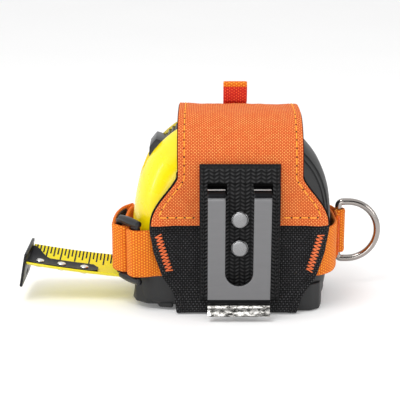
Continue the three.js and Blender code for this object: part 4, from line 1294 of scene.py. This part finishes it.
for name, reach, height, radius in (("nail_slot", 2.6, 4.4, 1.1), ("nail_notch", 0.9, -4.2, 1.2)):
    slot_line = arc(reach, height, radius, -90, 90, 6) + arc(-reach, height, radius, 90, 270, 6)
    cut(plate, prism(name, slot_line, 0, -3, 1, "black_steel", 0))
bevel(plate, 0.22, 2, 40, 45)
c, s = math.cos(END_ANGLE), math.sin(END_ANGLE)
base = on_blade(0, 0, 0)
for vertex in plate.data.vertices:
    x, y, z = (v / MM for v in vertex.co)
    vertex.co = Vector((base[0] + x * c + z * s, y, base[2] - x * s + z * c)) * MM
for piece in (tang, plate):
    rides("end_hook")(piece)
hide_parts("tape_end_hook")

up = THICK + TANG_GAP + TANG_THICK


def hook_rivet(along, a, b, h):
    return on_blade(along + a, b, h)


profile = [(1.5, -1.0), (1.7, -0.7), (1.7, -0.35), (0.75, -0.3), (0.75, up + 0.05), (1.75, up + 0.08),
           (1.85, up + 0.3), (1.6, up + 0.62), (1.0, up + 0.80), (0.2, up + 0.85)]
hook_rivets = lathe("hook_rivet_heads", profile, [4.5, 14.0, 24.0], "rivet", hook_rivet, 28)
rides("blade")(hook_rivets)
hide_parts("tape_hook_rivet_1", "tape_hook_rivet_2", "tape_hook_rivet_3")

# ---- CAD pieces that stay: the works inside the case ----
KEPT = {**{f"tape_case_screw_{i}": "black_steel" for i in (1, 2, 3)},
        "tape_axle": "inner_plastic", "tape_power_spring": "spring_steel", "tape_drum": "inner_plastic",
        "tape_blade_coil": "blade"}
for node, look in KEPT.items():
    for slot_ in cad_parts[node].material_slots:
        slot_.material = LOOKS[look]

# ---- Floor, light and camera ----
floor_look = Look("floor", Roughness=0.75, Emission_Color=(1, 1, 1, 1), Emission_Strength=0.14)
grain = floor_look.noise(6.0, 3.0)
floor_look.set(Base_Color=floor_look.ramp(grain, (0.0, (0.86, 0.86, 0.86)), (1.0, (0.90, 0.90, 0.90))))
LOOKS["floor"] = floor_look.material
floor_z = CAD_BOX[0][2] / MM - 0.05
FLOOR_HALF = 6000
floor_corners = [(FLOOR_HALF * a, FLOOR_HALF * b, floor_z) for a, b in ((-1, -1), (1, -1), (1, 1), (-1, 1))]
floor = mesh_object("floor", floor_corners, [(0, 1, 2, 3)], "floor")

world = bpy.data.worlds.new("studio")
bpy.context.scene.world = world
world.use_nodes = True
studio = Nodes(world.node_tree)
direction = studio.node("ShaderNodeTexCoord").outputs["Generated"]
parts = studio.node("ShaderNodeSeparateXYZ", i0=direction)

# White all round, with a dark studio wall low in front, where the camera stands
WALL_DARKNESS = 0.92
front_share = studio.map(parts.outputs[1], -0.25, -0.75, 0.0, 1.0, "SMOOTHSTEP")
low_share = studio.map(parts.outputs[2], 0.85, 0.60, 0.0, 1.0, "SMOOTHSTEP")
dark = studio.math("MULTIPLY", studio.math("MULTIPLY", front_share, low_share), WALL_DARKNESS)
background = world.node_tree.nodes["Background"]
background.inputs["Color"].default_value = (1, 1, 1, 1)
studio.put(studio.math("SUBTRACT", 1.0, dark), background.inputs["Strength"])


def area_light(name, place, target, size, power):
    light = bpy.data.lights.new(name, "AREA")
    light.shape = "RECTANGLE"
    light.size, light.size_y = size
    light.energy = power
    made = bpy.data.objects.new(name, light)
    made.location = place
    made.rotation_euler = (Vector(target) - Vector(place)).to_track_quat("-Z", "Y").to_euler()
    bpy.context.scene.collection.objects.link(made)


area_light("key", (-0.28, -0.30, 0.72), (0, 0, 0.04), (0.40, 0.30), 2.65)
area_light("front", (-0.12, -0.75, 0.10), (0, 0, 0.03), (0.45, 0.16), 1.0)
area_light("fill", (0.55, -0.45, 0.22), (0, 0, 0.04), (0.30, 0.30), 0.7)
area_light("left_strip", (-0.57, -0.13, 0.20), (-0.03, 0, 0.05), (0.035, 0.26), 0.35)
area_light("right_strip", (0.50, -0.20, 0.26), (0.03, 0, 0.05), (0.03, 0.22), 0.25)

camera = bpy.data.cameras.new("camera")
camera.lens = 104.9
camera.sensor_width = 36
camera_object = bpy.data.objects.new("camera", camera)
aim = Vector((-0.0162, 0, 0.0421))
tilt = math.radians(15)
camera_object.location = aim + Vector((0, -0.5 * math.cos(tilt), 0.5 * math.sin(tilt)))
camera_object.rotation_euler = (math.pi / 2 - tilt, 0, 0)
bpy.context.scene.collection.objects.link(camera_object)
bpy.context.scene.camera = camera_object
bpy.context.scene.view_settings.view_transform = "Standard"
